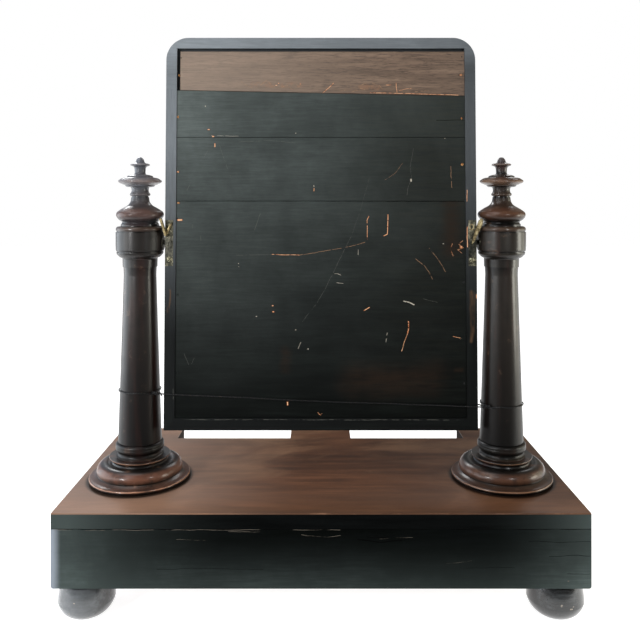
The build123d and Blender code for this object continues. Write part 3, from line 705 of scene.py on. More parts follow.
def boardFinish(name, low, high):
    f = Finish(name)
    local, colour, brush, cloud, bumped = stained(f, "x", (0.2, 0, low))
    sides = f.axes(local)
    flat = flatCoords(f, local)
    soft = flatCoords(f, local, 0.012, 14)
    streak = f.times(f.step(cloud, 0.34, 0.7, 0.55, 1.0), f.step(brush, 0.3, 0.72, 0.76, 1.0))
    rise = f.step(sides["Z"], *stain["hazeZ"], smooth=False)
    west = f.step(sides["X"], *stain["hazeX"], smooth=False)
    haze = f.times(streak, f.calc("POWER", rise, 1.5), west)
    colour = f.mix(f.times(haze, 0.92), colour, stain["haze"])
    east = f.times(f.step(sides["X"], *stain["oliveX"]), f.step(brush, 0.3, 0.7))
    colour = f.mix(f.times(east, f.times(rise, 0.3)), colour, stain["olive"])
    dust = f.step(f.spots(420), 0.16, 0.05)
    colour = f.mix(f.times(dust, f.step(cloud, 0.5, 0.7, 0, 0.3)), colour, stain["dust"])
    rubbed = within(backMarks["rubbed"], low, high)
    if rubbed:
        mark = f.times(f.step(blots(f, soft, rubbed), 0.0, 1.0), f.step(cloud, 0.34, 0.62, 0.25, 1.0))
        mark = f.times(mark, f.step(brush, 0.25, 0.62, 0.3, 1.0))
        colour = f.mix(f.times(mark, 0.85), colour, stain["rubbed"])
    broken = f.step(f.noise(210, detail=4), 0.34, 0.48)
    for kind, spots, full, most in backMarks["kinds"]:
        mark = boardMark(f, flat, broken, kind, spots, (low, high))
        if mark:
            colour = worn(f, colour, mark, kind, full, most)
    holes = [([(x, z), (x + 0.1, z)], wide) for x, z, wide, tall in within(backMarks["holes"], low, high)]
    gap = scratches(f, flat, within(backMarks["dark"], low, high) + holes)
    colour = f.mix(f.step(gap, 0.1, 0.4), colour, stain["gap"])
    return f.finish(colour, f.scaled(brush, 0.22, 0.46), bumped, shine=0.05)


# The rim is pale and bluish with dust and painted light, most of all at its top and on the camera's left
rimMarks = {
    "paleLight": rgb(146, 153, 159),
    "brown": rgb(88, 66, 48),
    "paleLightX": (-0.17, 0.17, 0.28, 0.7),
    "paleLightY": (0.0085, 0.0105, 0.2, 1.0),
    "paleLightZ": (-0.12, 0.16, 0.03, 1.0),
    "topZ": (0.2, 0.23, 0, 0.3),
    "frontY": (0.0065, 0.0045),
    "browned": [([(-174, -58), (-174.5, -112)], 5.5), ([(174, -56), (173.4, -82)], 3.0)],
    "bare": [
        ([(-169.7, 17.9), (-169.5, 6.3), (-169.9, -4.9)], 1.3), ([(-169.9, 61), (-169.7, 48)], 0.8),
        ([(-179.6, -60), (-179.8, -64)], 1.2),
    ],
    "pale": [
        ([(158, -202.9), (60, -203.1), (-60, -203.2), (-160, -203.4)], 0.7),
        ([(169.6, 60), (169.4, 52)], 0.7), ([(170, -168), (169.6, -180)], 0.6),
    ],
}
showWood = (rgb(40, 19, 12), rgb(78, 38, 24), rgb(116, 62, 38))


def rimFinish(name, along):
    f = Finish(name)
    local, colour, brush, cloud, bumped = stained(f, along, (0.1, 0, 0.2))
    sides = f.axes(local)
    flat = flatCoords(f, local)
    soft = flatCoords(f, local, 0.012, 14)
    # dust and painted light: paler towards the top and the camera's left
    high = f.step(sides["Z"], *rimMarks["paleLightZ"])
    west = f.step(sides["X"], *rimMarks["paleLightX"])
    west = f.plus(west, f.step(sides["Z"], *rimMarks["topZ"]))
    paleLight = f.times(f.scaled(cloud, 0.6, 0.55), f.times(high, west))
    paleLight = f.times(paleLight, f.scaled(brush, 0.6, 0.65), f.step(sides["Y"], *rimMarks["paleLightY"]))
    colour = f.mix(f.calc("MINIMUM", paleLight, 0.95), colour, rimMarks["paleLight"])
    browned = f.times(scratches(f, soft, rimMarks["browned"]), f.step(brush, 0.3, 0.6))
    colour = f.mix(f.times(browned, 0.9), colour, rimMarks["brown"])
    broken = f.step(f.noise(160, detail=5), 0.3, 0.55)
    pale = f.times(scratches(f, flat, rimMarks["pale"]), broken)
    colour = worn(f, colour, pale, "grey", 0.6, 0.7)
    colour = worn(f, colour, scratches(f, flat, rimMarks["bare"]), "bare")
    # its front is polished, and the stain laps a little over the edge
    wood, close = woodColour(f, along, showWood, scale=4.0, figure=0.65)
    lap = f.scaled(f.noise(50, detail=4), 0.004, sides["Y"])
    front = f.step(lap, *rimMarks["frontY"])
    colour = f.mix(front, colour, wood)
    f.join(f.times(front, 0.6), f.shader.inputs["Coat Weight"])
    return f.finish(colour, f.scaled(brush, 0.2, 0.4), bumped, shine=0.1, coatRough=0.14)


# The paler plank at the top of the glass's back
plankMarks = {
    "wood": (rgb(66, 50, 40), rgb(104, 84, 69), rgb(138, 114, 96)),
    "streak": rgb(46, 34, 28),
    "crack": rgb(38, 28, 23),
    "dust": rgb(158, 142, 128),
    "rubbed": rgb(146, 106, 80),
    "hole": rgb(10, 8, 7),
    "dustX": (-0.12, 0.17, 0.1, 0.52),
    "bare": [
        ([(-2.7, 174.7), (-7.9, 179.6), (-14.8, 186.0)], 1.0),
        ([(-88.3, 187.6), (-88.1, 181.8), (-89.1, 175.3)], 0.9),
        ([(-91.5, 177.7), (-98.7, 179.1), (-106.8, 180.3)], 0.6),
        ([(-57.8, 174.7), (-96.4, 174.0), (-131.4, 172.7), (-160.7, 172.2)], 0.9),
        ([(-76.6, 183.9), (-82.4, 183.9)], 1.0),
    ],
    "tan": [
        ([(74.9, 179.7), (69.1, 184.4), (63.3, 189.4)], 0.7),
        ([(63.3, 189.4), (57.4, 184.5), (49.2, 178.6)], 0.5), ([(-46, 183), (-52, 186), (-58, 181)], 0.7),
        ([(-52, 178.4), (-46, 180)], 0.7), ([(-60, 186), (-68, 184), (-72, 179)], 0.6),
        ([(-36, 176), (-44, 178)], 0.7), ([(46, 181), (40, 184), (33, 178)], 0.5),
        ([(30, 186), (24, 181)], 0.4), ([(94, 189), (88, 184), (80, 180)], 0.4),
        ([(-110, 176), (-126, 177.4)], 0.6), ([(-20, 176), (-34, 179)], 0.5),
    ],
    "holes": [(163.5, 215.8, 1.4, 1.4), (-165.1, 217.1, 1.4, 1.4), (-160.8, 195.6, 1.0, 1.2)],
    "pale": [
        (165.9, 195.0, 3.0, 2.8), (-163.9, 195.5, 3.2, 2.8), (49.3, 186.0, 1.6, 1.4),
        (52.0, 183.6, 1.8, 1.2), (24, 185, 1.3, 1.3),
    ],
    "knots": [(-52, 181, 22, 7), (52, 184, 34, 7)],
}


def plankFinish():
    f = Finish("barePlank")
    local = hungCoords(f)
    sides = f.axes(local)
    colour, fine = woodColour(f, "x", plankMarks["wood"], scale=9.0)
    streak = fibres(f, "x", 44, 4, 0.7)
    colour = f.mix(f.step(streak, 0.5, 0.64, 0, 0.7), colour, plankMarks["streak"])
    crack = fibres(f, "x", 90, 3, 0.6)
    colour = f.mix(f.step(crack, 0.56, 0.66, 0, 0.75), colour, plankMarks["crack"])
    colour = f.mix(f.step(sides["X"], *plankMarks["dustX"]), colour, plankMarks["dust"])
    flat = flatCoords(f, local)
    rough = f.noise(90, detail=5, rough=0.7)
    rubbed = f.times(f.step(blots(f, flat, plankMarks["knots"]), 0.0, 0.5), f.step(rough, 0.45, 0.6))
    colour = f.mix(f.times(rubbed, 0.45), colour, plankMarks["rubbed"])
    broken = f.step(f.noise(240, detail=4), 0.38, 0.54, 0.2, 1.0)
    tan = f.times(scratches(f, flat, plankMarks["tan"]), broken)
    colour = worn(f, colour, tan, "tan", 0.6, 0.8)
    bare = f.times(scratches(f, flat, plankMarks["bare"]), broken)
    bare = f.most(bare, blots(f, flat, plankMarks["pale"]))
    colour = worn(f, colour, bare, "bare")
    hole = f.step(blots(f, flat, plankMarks["holes"]), 0.1, 0.3)
    colour = f.mix(hole, colour, plankMarks["hole"])
    height = f.less(f.plus(fine, streak), f.plus(bare, hole))
    return f.finish(colour, 0.62, f.bump(height, 0.4, 0.0005), shine=0.3)


# Turnings: polish worn to brown on their crests, black with old wax in their coves;
# bands give millimetres above the foot and the colour there
turnings = {
    "base": {
        "name": "basePolish", "reach": (0, 0.0275), "along": "x",
        "patches": 0.7, "rough": 0.24, "reds": 0.3, "coat": 0.3,
        "paintedGlare": (1.0, 1.0, (0.5, 0.44, 0.4, 1), "DODGE"),
        "bands": [
            # painted shadow: black from 0 to 2.9 mm, under the base's flange
            (0, 4, 4, 4), (2.9, 5, 4, 4), (3.7, 44, 27, 20), (4.5, 138, 106, 86), (5.2, 62, 43, 35),
            (7.6, 50, 38, 32), (8.6, 12, 10, 8), (10.2, 54, 36, 28), (14, 82, 56, 44), (18.5, 72, 50, 41),
            (20.2, 26, 18, 15), (21.2, 4, 4, 4), (23.5, 16, 13, 12), (25.4, 40, 27, 22),
            (26.2, 138, 106, 86), (27.0, 56, 44, 37), (27.5, 16, 13, 12),
        ],
    },
    "shaft": {
        "name": "shaftPolish", "reach": (0, 0.2948), "along": "z",
        "patches": 0.4, "rough": 0.26, "reds": 0.2, "coat": 0.42, "footCoat": 0.08,
        "bands": [
            # painted shade: the shaft's colour darkens from 200 mm down to its foot
            (0, 4, 4, 4), (28, 44, 38, 33), (29.5, 10, 10, 10), (33, 4, 4, 4), (35, 12, 12, 12),
            (38.5, 26, 25, 24), (42, 12, 12, 12), (43.3, 4, 4, 4), (45, 9, 8, 8), (110, 22, 19, 18),
            (200, 38, 34, 32), (237, 36, 33, 32), (246.5, 14, 14, 14), (247.5, 36, 34, 33),
            (257, 26, 24, 23), (258.6, 4, 4, 4), (260.5, 36, 34, 33), (263.6, 42, 40, 38),
            (264.2, 4, 4, 4), (265.1, 4, 4, 4), (265.9, 36, 34, 33), (276, 40, 38, 36),
            (286.8, 38, 35, 33), (287.5, 4, 4, 4), (288.5, 4, 4, 4), (289.3, 56, 44, 38),
            (292.5, 76, 62, 54), (294.8, 16, 13, 12),
        ],
    },
    "finial": {
        "name": "finialPolish", "reach": (0.2948, 0.3749), "along": "x",
        "patches": 0.5, "rough": 0.2, "reds": 0.3, "coat": 0.3,
        "paintedGlare": (0.42, 0.25, rgb(126, 130, 138), "MIX"),
        "bands": [
            (0, 4, 4, 4), (3.6, 4, 4, 4), (5.4, 16, 13, 12), (8.5, 44, 30, 25), (12.5, 80, 56, 46),
            (17.5, 92, 66, 54), (22, 60, 46, 40), (31, 52, 46, 44), (33.2, 4, 4, 4), (34.4, 36, 28, 25),
            (36, 76, 64, 58), (40, 62, 56, 54), (44, 44, 40, 40), (45.4, 4, 4, 4), (47, 60, 47, 41),
            (51, 128, 104, 90), (54, 92, 74, 66), (56.5, 66, 54, 50), (57.6, 4, 4, 4), (58.6, 80, 72, 70),
            (60.2, 28, 28, 30), (66, 60, 60, 64), (69.5, 34, 34, 38), (71.2, 124, 116, 116),
            (73.6, 58, 58, 64), (80, 104, 106, 114),
        ],
    },
}
turningTones = {
    "streak": rgb(14, 10, 9),
    "red": rgb(74, 40, 32),
    "patch": rgb(11, 10, 9),
    "olive": (1.0, 0.88, 0.66, 1),
    "light": rgb(150, 118, 96),
    "oliveX": (0.0, -0.2, 0, 0.6),
    "innerX": (-0.02, -0.006, 0.05, 1.0),  # from the shaft's axis outwards
}
baseTop = 0.118


def turningFinish(kind):
    made = turnings[kind]
    f = Finish(made["name"])
    sides = f.axes()
    low, high = (baseTop + end for end in made["reach"])
    wander = f.scaled(f.noise(30, detail=4), 0.0016, -0.0008)
    level = f.step(f.plus(sides["Z"], wander), low, high, smooth=False)
    colour = f.ramp(level, [(mm / 1000 / (high - low), rgb(*tone)) for mm, *tone in made["bands"]])
    streak = fibres(f, made["along"], 14, 5, 0.7)
    deep = f.mix(0.6, colour, turningTones["streak"])
    colour = f.mix(f.step(streak, 0.42, 0.68, 0, 0.5), colour, deep)
    red = fibres(f, made["along"], 5, 3)
    colour = f.mix(f.step(red, 0.5, 0.68, 0, made["reds"]), colour, turningTones["red"])
    cloud = f.noise(38, detail=6, rough=0.65)
    colour = f.mix(f.step(cloud, 0.5, 0.68, 0, made["patches"]), colour, turningTones["patch"])
    # painted reflection: the column on the camera's right is tinted more olive, for the warm light it reflects
    right = f.step(sides["X"], *turningTones["oliveX"])
    colour = f.mix(right, colour, turningTones["olive"], "MULTIPLY")
    light = f.noise(70, detail=5, rough=0.6)
    pale = f.mix(0.5, colour, turningTones["light"])
    colour = f.mix(f.step(light, 0.6, 0.72, 0, 0.3), colour, pale)
    # painted glare: the base and finial on the camera's left are painted paler, for the window's highlights
    # and flare on them
    if "paintedGlare" in made:
        amount, foot, tone, mode = made["paintedGlare"]
        paleLight = f.times(f.step(sides["X"], 0.0, 0.2, 0, amount), f.scaled(cloud, 0.8, 0.5))
        colour = f.mix(f.times(paleLight, f.step(level, 0.2, 0.65, foot, 1.0)), colour, tone, mode)
    coat = made["coat"]
    if "footCoat" in made:
        # handled less, the sides towards the glass have lost their polish
        outward = f.less(f.calc("ABSOLUTE", sides["X"]), topWood["columns"][0])
        inner = f.step(outward, *turningTones["innerX"])
        coat = f.times(f.step(level, 0.1, 0.8, made["footCoat"], coat), inner)
    f.join(coat, f.shader.inputs["Coat Weight"])
    height = f.plus(f.times(streak, 0.6), f.times(light, 0.4))
    roughness = f.scaled(cloud, 0.26, made["rough"])
    return f.finish(colour, roughness, f.bump(height, 0.2, 0.0003), shine=0.24, coatRough=0.17)


# Brass plates: rubbed bright at both ends, and black with dirt along the middle
brass = {
    "tones": [(0.34, rgb(30, 31, 26)), (0.5, rgb(84, 82, 68)), (0.68, rgb(178, 172, 146))],
    "dirt": (rgb(24, 27, 24), rgb(84, 83, 76)),
    "tarnish": rgb(30, 36, 31),
    "middleZ": ((-0.021, -0.0165), (0.0085, 0.004)),
}


def brassFinish():
    f = Finish("oldBrass")
    sides = f.axes(hungCoords(f))
    cloud = f.noise(190, detail=6, rough=0.7)
    tarnish = f.noise(420, detail=4)
    colour = f.ramp(cloud, brass["tones"])
    middle = f.times(*(f.step(sides["Z"], *reach) for reach in brass["middleZ"]))
    dirt = f.mix(f.step(sides["X"], -0.1, 0.1), *brass["dirt"])
    colour = f.mix(f.times(middle, 0.72), colour, dirt)
    colour = f.mix(f.step(tarnish, 0.5, 0.7, 0, 0.7), colour, brass["tarnish"])
    rough = f.step(cloud, 0.3, 0.7, 0.62, 0.36)
    return f.finish(colour, rough, f.bump(f.plus(cloud, tarnish), 0.5, 0.0005), metal=0.75)


# Plain fittings: one noise gives colour, bump and roughness, which runs from low to high share
fittingKinds = {
    "lever": {
        "name": "rubbedBrass", "scale": 240, "detail": 6, "breakUp": 0.7, "gloss": {"metal": 0.7},
        "tones": [(0.34, rgb(52, 46, 32)), (0.5, rgb(148, 132, 94)), (0.66, rgb(208, 194, 152))],
        "rough": (0.3, 0.7, 0.55, 0.34), "bump": (0.3, 0.0003),
    },
    "screw": {
        "name": "wornScrew", "scale": 620, "detail": 5, "breakUp": 0.75, "gloss": {"metal": 0.6},
        "tones": [(0.4, rgb(14, 16, 12)), (0.5, rgb(110, 106, 82)), (0.6, rgb(214, 208, 176))],
        "rough": (0.35, 0.65, 0.7, 0.38), "bump": (0.7, 0.0005),
    },
    "wire": {
        "name": "ironWire", "scale": 900, "detail": 5, "breakUp": 0.55, "gloss": {"metal": 0.7},
        "tones": [(0.35, rgb(12, 13, 14)), (0.55, rgb(46, 48, 50)), (0.75, rgb(84, 68, 56))],
        "rough": 0.42, "bump": (0.3, 0.0002),
    },
    "nail": {
        "name": "nailHead", "scale": 700, "detail": 5, "breakUp": 0.7, "gloss": {"metal": 0.45},
        "tones": [(0.34, rgb(70, 38, 20)), (0.5, rgb(176, 120, 66)), (0.66, rgb(226, 196, 140))],
        "rough": 0.5, "bump": (0.4, 0.0003),
    },
    "bone": {
        "name": "boneInlay", "scale": 260, "detail": 5, "breakUp": 0.55, "gloss": {"shine": 0.5},
        "tones": [(0.35, rgb(150, 122, 84)), (0.55, rgb(206, 186, 146)), (0.75, rgb(226, 212, 180))],
        "rough": 0.42, "bump": (0.2, 0.0002),
    },
}


def fittingFinish(kind):
    made = fittingKinds[kind]
    f = Finish(made["name"])
    cloud = f.noise(made["scale"], detail=made["detail"], rough=made["breakUp"])
    rough = made["rough"] if isinstance(made["rough"], float) else f.step(cloud, *made["rough"])
    return f.finish(f.ramp(cloud, made["tones"]), rough, f.bump(cloud, *made["bump"]), **made["gloss"])


def holeFinish():
    f = Finish("keyholeDark")
    cloud = f.noise(300, detail=3)
    return f.finish(f.mix(cloud, rgb(4, 3, 3), rgb(16, 12, 10)), 0.9, f.bump(cloud, 0.3, 0.0002))


def glassFinish():
    f = Finish("silveredGlass")
    cloud = f.noise(60, detail=6, rough=0.7)
    fleck = f.step(f.spots(240), 0.06, 0.16, 1, 0)
    fox = f.times(fleck, f.step(cloud, 0.55, 0.7))
    colour = f.mix(f.times(fox, 0.8), rgb(228, 232, 231), rgb(92, 84, 74))
    return f.finish(colour, f.scaled(fox, 0.35, 0.03), metal=1.0, coat=1.0, coatRough=0.02)


def pineFinish(name, along):
    f = Finish(name)
    tones = (rgb(128, 92, 56), rgb(164, 124, 82), rgb(190, 152, 106))
    colour, fine = woodColour(f, along, tones, scale=5.0)
    dirt = f.noise(14, detail=5, rough=0.65)
    colour = f.mix(f.step(dirt, 0.48, 0.8, 0, 0.55), colour, rgb(92, 66, 42))
    return f.finish(colour, 0.68, f.bump(fine, 0.3, 0.0005))


def showFinish(name, along):
    f = Finish(name)
    colour, fine = woodColour(f, along, showWood, scale=4.0, figure=0.65)
    colour = f.mix(f.times(pores(f, along), 0.45), colour, rgb(26, 13, 9))
    cloud = f.noise(11, detail=5, rough=0.6)
    colour = f.mix(f.step(cloud, 0.52, 0.78, 0, 0.45), colour, rgb(34, 20, 15))
    rough = f.scaled(cloud, 0.22, 0.2)
    return f.finish(colour, rough, f.bump(fine, 0.1, 0.0003), coat=0.5, coatRough=0.14)


# Bun feet: black polish, dusty at the camera's left, with a few chips
foot = {
    "tones": [(0.32, rgb(22, 23, 24)), (0.5, rgb(48, 50, 51)), (0.7, rgb(78, 81, 83))],
    "dust": rgb(150, 155, 160),
    "inner": rgb(26, 22, 20),
    "shade": rgb(12, 12, 12),
    "chip": rgb(176, 164, 150),
    "dustX": (-0.2, 0.22, 0.0, 0.55),
    "dustY": (-0.05, 0.05),
    "innerX": (0.252, 0.228),
    "shadeZ": (0.034, 0.04, 0, 0.8),
    "chips": [
        (-259.5, 18.0, 2.6, 1.6), (-262.0, 20.2, 1.4, 0.9), (256.0, 24.0, 1.6, 1.0), (262.0, 12.0, 1.2, 0.8),
    ],
}


def footFinish():
    f = Finish("blackFoot")
    sides = f.axes()
    streak = fibres(f, "x", 12, 5, 0.7)
    colour = f.ramp(streak, foot["tones"])
    cloud = f.noise(60, detail=6, rough=0.65)
    west = f.times(f.step(sides["X"], *foot["dustX"]), f.step(sides["Y"], *foot["dustY"]))
    colour = f.mix(f.times(west, cloud), colour, foot["dust"])
    inner = f.step(f.calc("ABSOLUTE", sides["X"]), *foot["innerX"])
    inner = f.times(inner, f.step(cloud, 0.4, 0.6))
    colour = f.mix(f.times(inner, 0.75), colour, foot["inner"])
    colour = f.mix(f.step(sides["Z"], *foot["shadeZ"]), colour, foot["shade"])
    chip = f.step(f.spots(70), 0.05, 0.12, 1, 0)
    chip = f.times(chip, f.step(cloud, 0.5, 0.6))
    chip = f.most(chip, f.step(blots(f, flatCoords(f, f.place), foot["chips"]), 0.1, 0.5))
    colour = f.mix(f.times(chip, 0.8), colour, foot["chip"])
    rough = f.scaled(cloud, 0.16, 0.16)
    return f.finish(colour, rough, f.bump(streak, 0.08, 0.0003), coat=0.7, coatRough=0.06)


boardSpans = {"upperBoard": (122.7, 177.4), "middleBoard": (48.5, 122.1), "lowerBoard": (-201.1, 47.9)}
finishes = {
    "top": topFinish(),
    "box": boxFinish(),
    "rim": rimFinish("chalkyRim", "x"),
    "rimUpright": rimFinish("chalkyStile", "z"),
    "plank": plankFinish(),
    "brass": brassFinish(),
    "foot": footFinish(),
    "glass": glassFinish(),
    "hole": holeFinish(),
    "pine": pineFinish("pineLining", "x"),
    "pineDeep": pineFinish("pineSide", "y"),
    "show": showFinish("showMahogany", "x"),
    "showDeep": showFinish("showMahoganySide", "y"),
    "knob": showFinish("knobMahogany", "y"),
}
for name, span in boardSpans.items():
    finishes[name] = boardFinish(name, *span)
for kind in turnings:
    finishes[kind] = turningFinish(kind)
for kind in fittingKinds:
    finishes[kind] = fittingFinish(kind)

# Which finish each part wears; the second list is of pairs, left and right
wears = {
    "top_board": "top", "top_strip_centre": "top", "back_board": "box", "bottom_board": "show",
    "drawer_stops": "pine", "tie_wire": "wire", "frame_top_rail": "rim", "frame_bottom_rail": "rim",
    "backboard_plank": "plank", "backboard_upper": "upperBoard", "backboard_middle": "middleBoard",
    "backboard_lower": "lowerBoard", "looking_glass": "glass", "glass_blocks": "pine",
    "drawer_front": "show", "drawer_tablet": "show", "drawer_bottom": "pine", "drawer_back": "pine",
}
pairs = {
    "top_strip": "top", "end_panel": "showDeep", "block_front": "show", "drawer_cheek": "showDeep",
    "drawer_runner": "pineDeep", "foot_front": "foot", "foot_back": "foot", "column_base": "base",
    "column_shaft": "shaft", "finial": "finial", "pivot_pin": "brass", "frame_stile": "rimUpright",
    "pivot_plate": "brass", "pivot_lever": "lever", "drawer_side": "pineDeep", "drawer_knob": "knob",
}
for name, finish in pairs.items():
    wears[name + "_left"] = wears[name + "_right"] = finish
for name, finish in wears.items():
    slots = nodes[name].data.materials
    slots.clear()
    slots.append(finishes[finish])
print("finishes on", len(wears), "parts; bare:", sorted(set(nodes) - set(wears)))


def choose(made):
    clearSelection()
    made.select_set(True)
    bpy.context.view_layer.objects.active = made


def edit(on):
    bpy.ops.object.mode_set(mode="EDIT" if on else "OBJECT")
    if on:
        bpy.ops.mesh.select_all(action="SELECT")


def drawOut(move, share, centre):
    # extrudes the selected end, and sizes it about a point
    bpy.ops.mesh.extrude_region_move(TRANSFORM_OT_translate={"value": move})
    bpy.ops.transform.resize(value=share, center_override=centre)


def closeShape():
    bpy.ops.mesh.select_all(action="SELECT")
    bpy.ops.mesh.normals_make_consistent(inside=False)
    edit(False)


def turned(name, rings, corners=28):
    # a solid turned about z: rings of (radius, height) in millimetres, from the outside foot inwards
    clearSelection()
    radius, height = rings[0]
    circle = {"vertices": corners, "radius": radius / 1000, "fill_type": "NGON"}
    bpy.ops.mesh.primitive_circle_add(location=(0, 0, 0), **circle)
    made = bpy.context.object
    made.name = name
    edit(True)
    for nextRadius, nextHeight in rings[1:]:
        share = nextRadius / radius
        drawOut((0, 0, (nextHeight - height) / 1000), (share, share, 1), (0, 0, nextHeight / 1000))
        radius, height = nextRadius, nextHeight
    closeShape()
    bpy.ops.object.shade_smooth_by_angle(angle=math.radians(35))
    return made


def cutSlot(made, wide, deep, top, turn=0.0):
    # a screwdriver slot across a head
    clearSelection()
    bpy.ops.mesh.primitive_cube_add(size=1, location=(0, 0, top / 1000), rotation=(0, 0, turn))
    blade = bpy.context.object
    blade.scale = (0.03, wide / 1000, 2 * deep / 1000)
    cut = made.modifiers.new("slot", "BOOLEAN")
    cut.operation = "DIFFERENCE"
    cut.solver = "EXACT"
    cut.object = blade
    choose(made)
    bpy.ops.object.modifier_apply(modifier="slot")
    bpy.data.objects.remove(blade)


def dress(made, finish, body):
    made.data.materials.clear()
    made.data.materials.append(finishes[finish])
    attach(made, body)


def settle(made, spot, turn, stretch=None):
    # its place goes into the mesh, so that the object itself stays at the origin
    if stretch:
        made.scale = stretch
    made.location = spot
    made.rotation_euler = turn
    choose(made)
    bpy.ops.object.transform_apply(location=True, rotation=True, scale=True)


def hungPlace(x, y, z):
    # millimetres from the pivot line, y out of the back, into the frame
    turn = Matrix.Rotation(math.radians(hang["lean"]), 3, "X")
    return turn @ (Vector((x, y, z)) / 1000) + Vector(hang["pivot"])


def settleOnBack(made, x, y, z, turn=0.0, stretch=None):
    # its top turned to the glass's back
    settle(made, hungPlace(x, y, z), (math.radians(hang["lean"] - 90), 0, turn), stretch)


# Nails that hold the back boards: place, head and kind
nails = {
    "rise": 9.95,
    "corners": 16,
    "heads": [
        (165.4, 195.0, 1.5, "dome"), (166.0, 146.3, 1.5, "ring"), (165.6, 82.2, 1.5, "ring"),
        (165.2, 46.0, 1.2, "ring"), (-163.9, 195.5, 1.6, "dome"), (-164.2, 144.7, 1.5, "ring"),
        (-164.7, 90.8, 1.7, "dome"), (165.6, -60.0, 1.2, "dome"), (-165.2, -46.0, 1.2, "dome"),
        (165.0, -150.0, 1.2, "dome"), (-165.0, -162.0, 1.2, "dome"),
    ],
    "dome": [(1.0, 0.0), (1.0, 0.12), (0.9, 0.3), (0.55, 0.42), (0.2, 0.46)],
    "ring": [(1.0, 0.0), (1.0, 0.14), (0.88, 0.34), (0.62, 0.36), (0.46, 0.16), (0.2, 0.1)],
}


def setNails():
    for number, (x, z, radius, kind) in enumerate(nails["heads"]):
        rings = [(share * radius, height) for share, height in nails[kind]]
        head = turned(f"boardNail_{number + 1}", rings, nails["corners"])
        settleOnBack(head, x, nails["rise"], z, random.uniform(0, 3))
        dress(head, "nail" if z > 0 else "wire", "mirror")


setNails()

# Screws, bush plates, lever and spring on the two brass plates: places are in millimetres
# from the pivot line, and a screw also has the turn of its slot
fittings = {
    "plateFace": 10.98,
    "screw": [(3.1, 0.0), (3.1, 0.25), (2.7, 0.75), (1.7, 1.1), (0.5, 1.2)],
    "screws": [(175.4, -19.0, 0.7), (-175.2, -20.0, 2.2)],
    "slot": {"wide": 0.8, "deep": 0.75, "top": 1.2},
    "bush": [(3.4, 0.0), (3.4, 0.5), (3.0, 0.85), (1.7, 0.95), (1.3, 0.7), (0.4, 0.7)],
    "bushes": [(175.6, -2.0), (-175.6, -1.0)],
    "bushStretch": (1.0, 1.7, 1.0),
    "bars": {
        "leverSpring": {
            "from": (172.6, 23.2), "to": (178.8, 9.6), "widths": (2.0, 3.2),
            "thick": 0.8, "rise": 11.4, "bow": 0.7,
        },
        "thumbLever": {
            "from": (-186.4, 27.6), "to": (-174.8, -1.6), "widths": (6.6, 2.4),
            "thick": 1.6, "rise": 12.4, "bow": 0.9, "stands": "pivot_lever_left",
        },
    },
    "barRuns": 9,
    "barEdge": 0.00025,
    "loop": {"spot": (-175.0, 11.3, 18.0), "radius": 2.5, "thick": 0.65, "stretch": (0.8, 1.25, 1.0)},
}


def strapSection(bar, share):
    # width, thickness and rise of the bar, a share of the way along it
    first, last = bar["widths"]
    rounded = math.sqrt(max(0.12, 1 - (2 * share - 1) ** 6))
    wide = (first + (last - first) * share) * rounded / 1000
    thick = bar["thick"] * (1 + 0.25 * math.sin(7 * share)) / 1000
    return wide, thick, bar["bow"] / 1000 * math.sin(math.pi * share)


def strap(name, bar):
    # a thin brass bar on the back: its end is drawn out run by run, tapered, bowed and with soft edges
    (x1, z1), (x2, z2) = bar["from"], bar["to"]
    long = math.hypot(x2 - x1, z2 - z1) / 1000
    foot = (0, -long / 2, 0)
    clearSelection()
    bpy.ops.mesh.primitive_plane_add(size=1, location=foot, rotation=(math.radians(90), 0, 0))
    made = bpy.context.object
    made.name = name
    edit(True)
    wide, thick, rise = strapSection(bar, 0)
    bpy.ops.transform.resize(value=(wide, 1, thick), center_override=foot)
    runs = fittings["barRuns"]
    for run in range(1, runs + 1):
        nextWide, nextThick, nextRise = strapSection(bar, run / runs)
        middle = (0, long * (run / runs - 0.5), nextRise)
        drawOut((0, long / runs, nextRise - rise), (nextWide / wide, 1, nextThick / thick), middle)
        wide, thick, rise = nextWide, nextThick, nextRise
    closeShape()
    bpy.ops.object.transform_apply(location=True, rotation=True, scale=True)
    soft = made.modifiers.new("soft", "BEVEL")
    soft.width = fittings["barEdge"]
    soft.segments = 2
    soft.limit_method = "ANGLE"
    bpy.ops.object.modifier_apply(modifier="soft")
    bpy.ops.object.shade_smooth_by_angle(angle=math.radians(40))
    settle(made, (0, 0, 0), (0, 0, math.atan2(x1 - x2, z1 - z2)))
    settleOnBack(made, (x1 + x2) / 2, bar["rise"], (z1 + z2) / 2)
    return made


def setLoop():
    loop = fittings["loop"]
    clearSelection()
    bpy.ops.mesh.primitive_torus_add(
        major_radius=loop["radius"] / 1000,
        minor_radius=loop["thick"] / 1000,
        major_segments=28,
        minor_segments=8,
    )
    ring = bpy.context.object
    ring.name = "leverLoop"
    bpy.ops.object.shade_smooth()
    settleOnBack(ring, *loop["spot"], stretch=loop["stretch"])
    dress(ring, "lever", "mirror")


def setFittings():
    face = fittings["plateFace"]
    for number, (x, z, turn) in enumerate(fittings["screws"]):
        head = turned(f"plateScrew_{number + 1}", fittings["screw"])
        cutSlot(head, turn=turn, **fittings["slot"])
        settleOnBack(head, x, face, z)
        dress(head, "screw", "mirror")
    for number, (x, z) in enumerate(fittings["bushes"]):
        bush = turned(f"pivotBush_{number + 1}", fittings["bush"])
        settleOnBack(bush, x, face, z, stretch=fittings["bushStretch"])
        dress(bush, "brass", "mirror")
    for name, bar in fittings["bars"].items():
        made = strap(name, bar)
        dress(made, "lever", "mirror")
        if "stands" in bar:
            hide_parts(bar["stands"])
    setLoop()


setFittings()

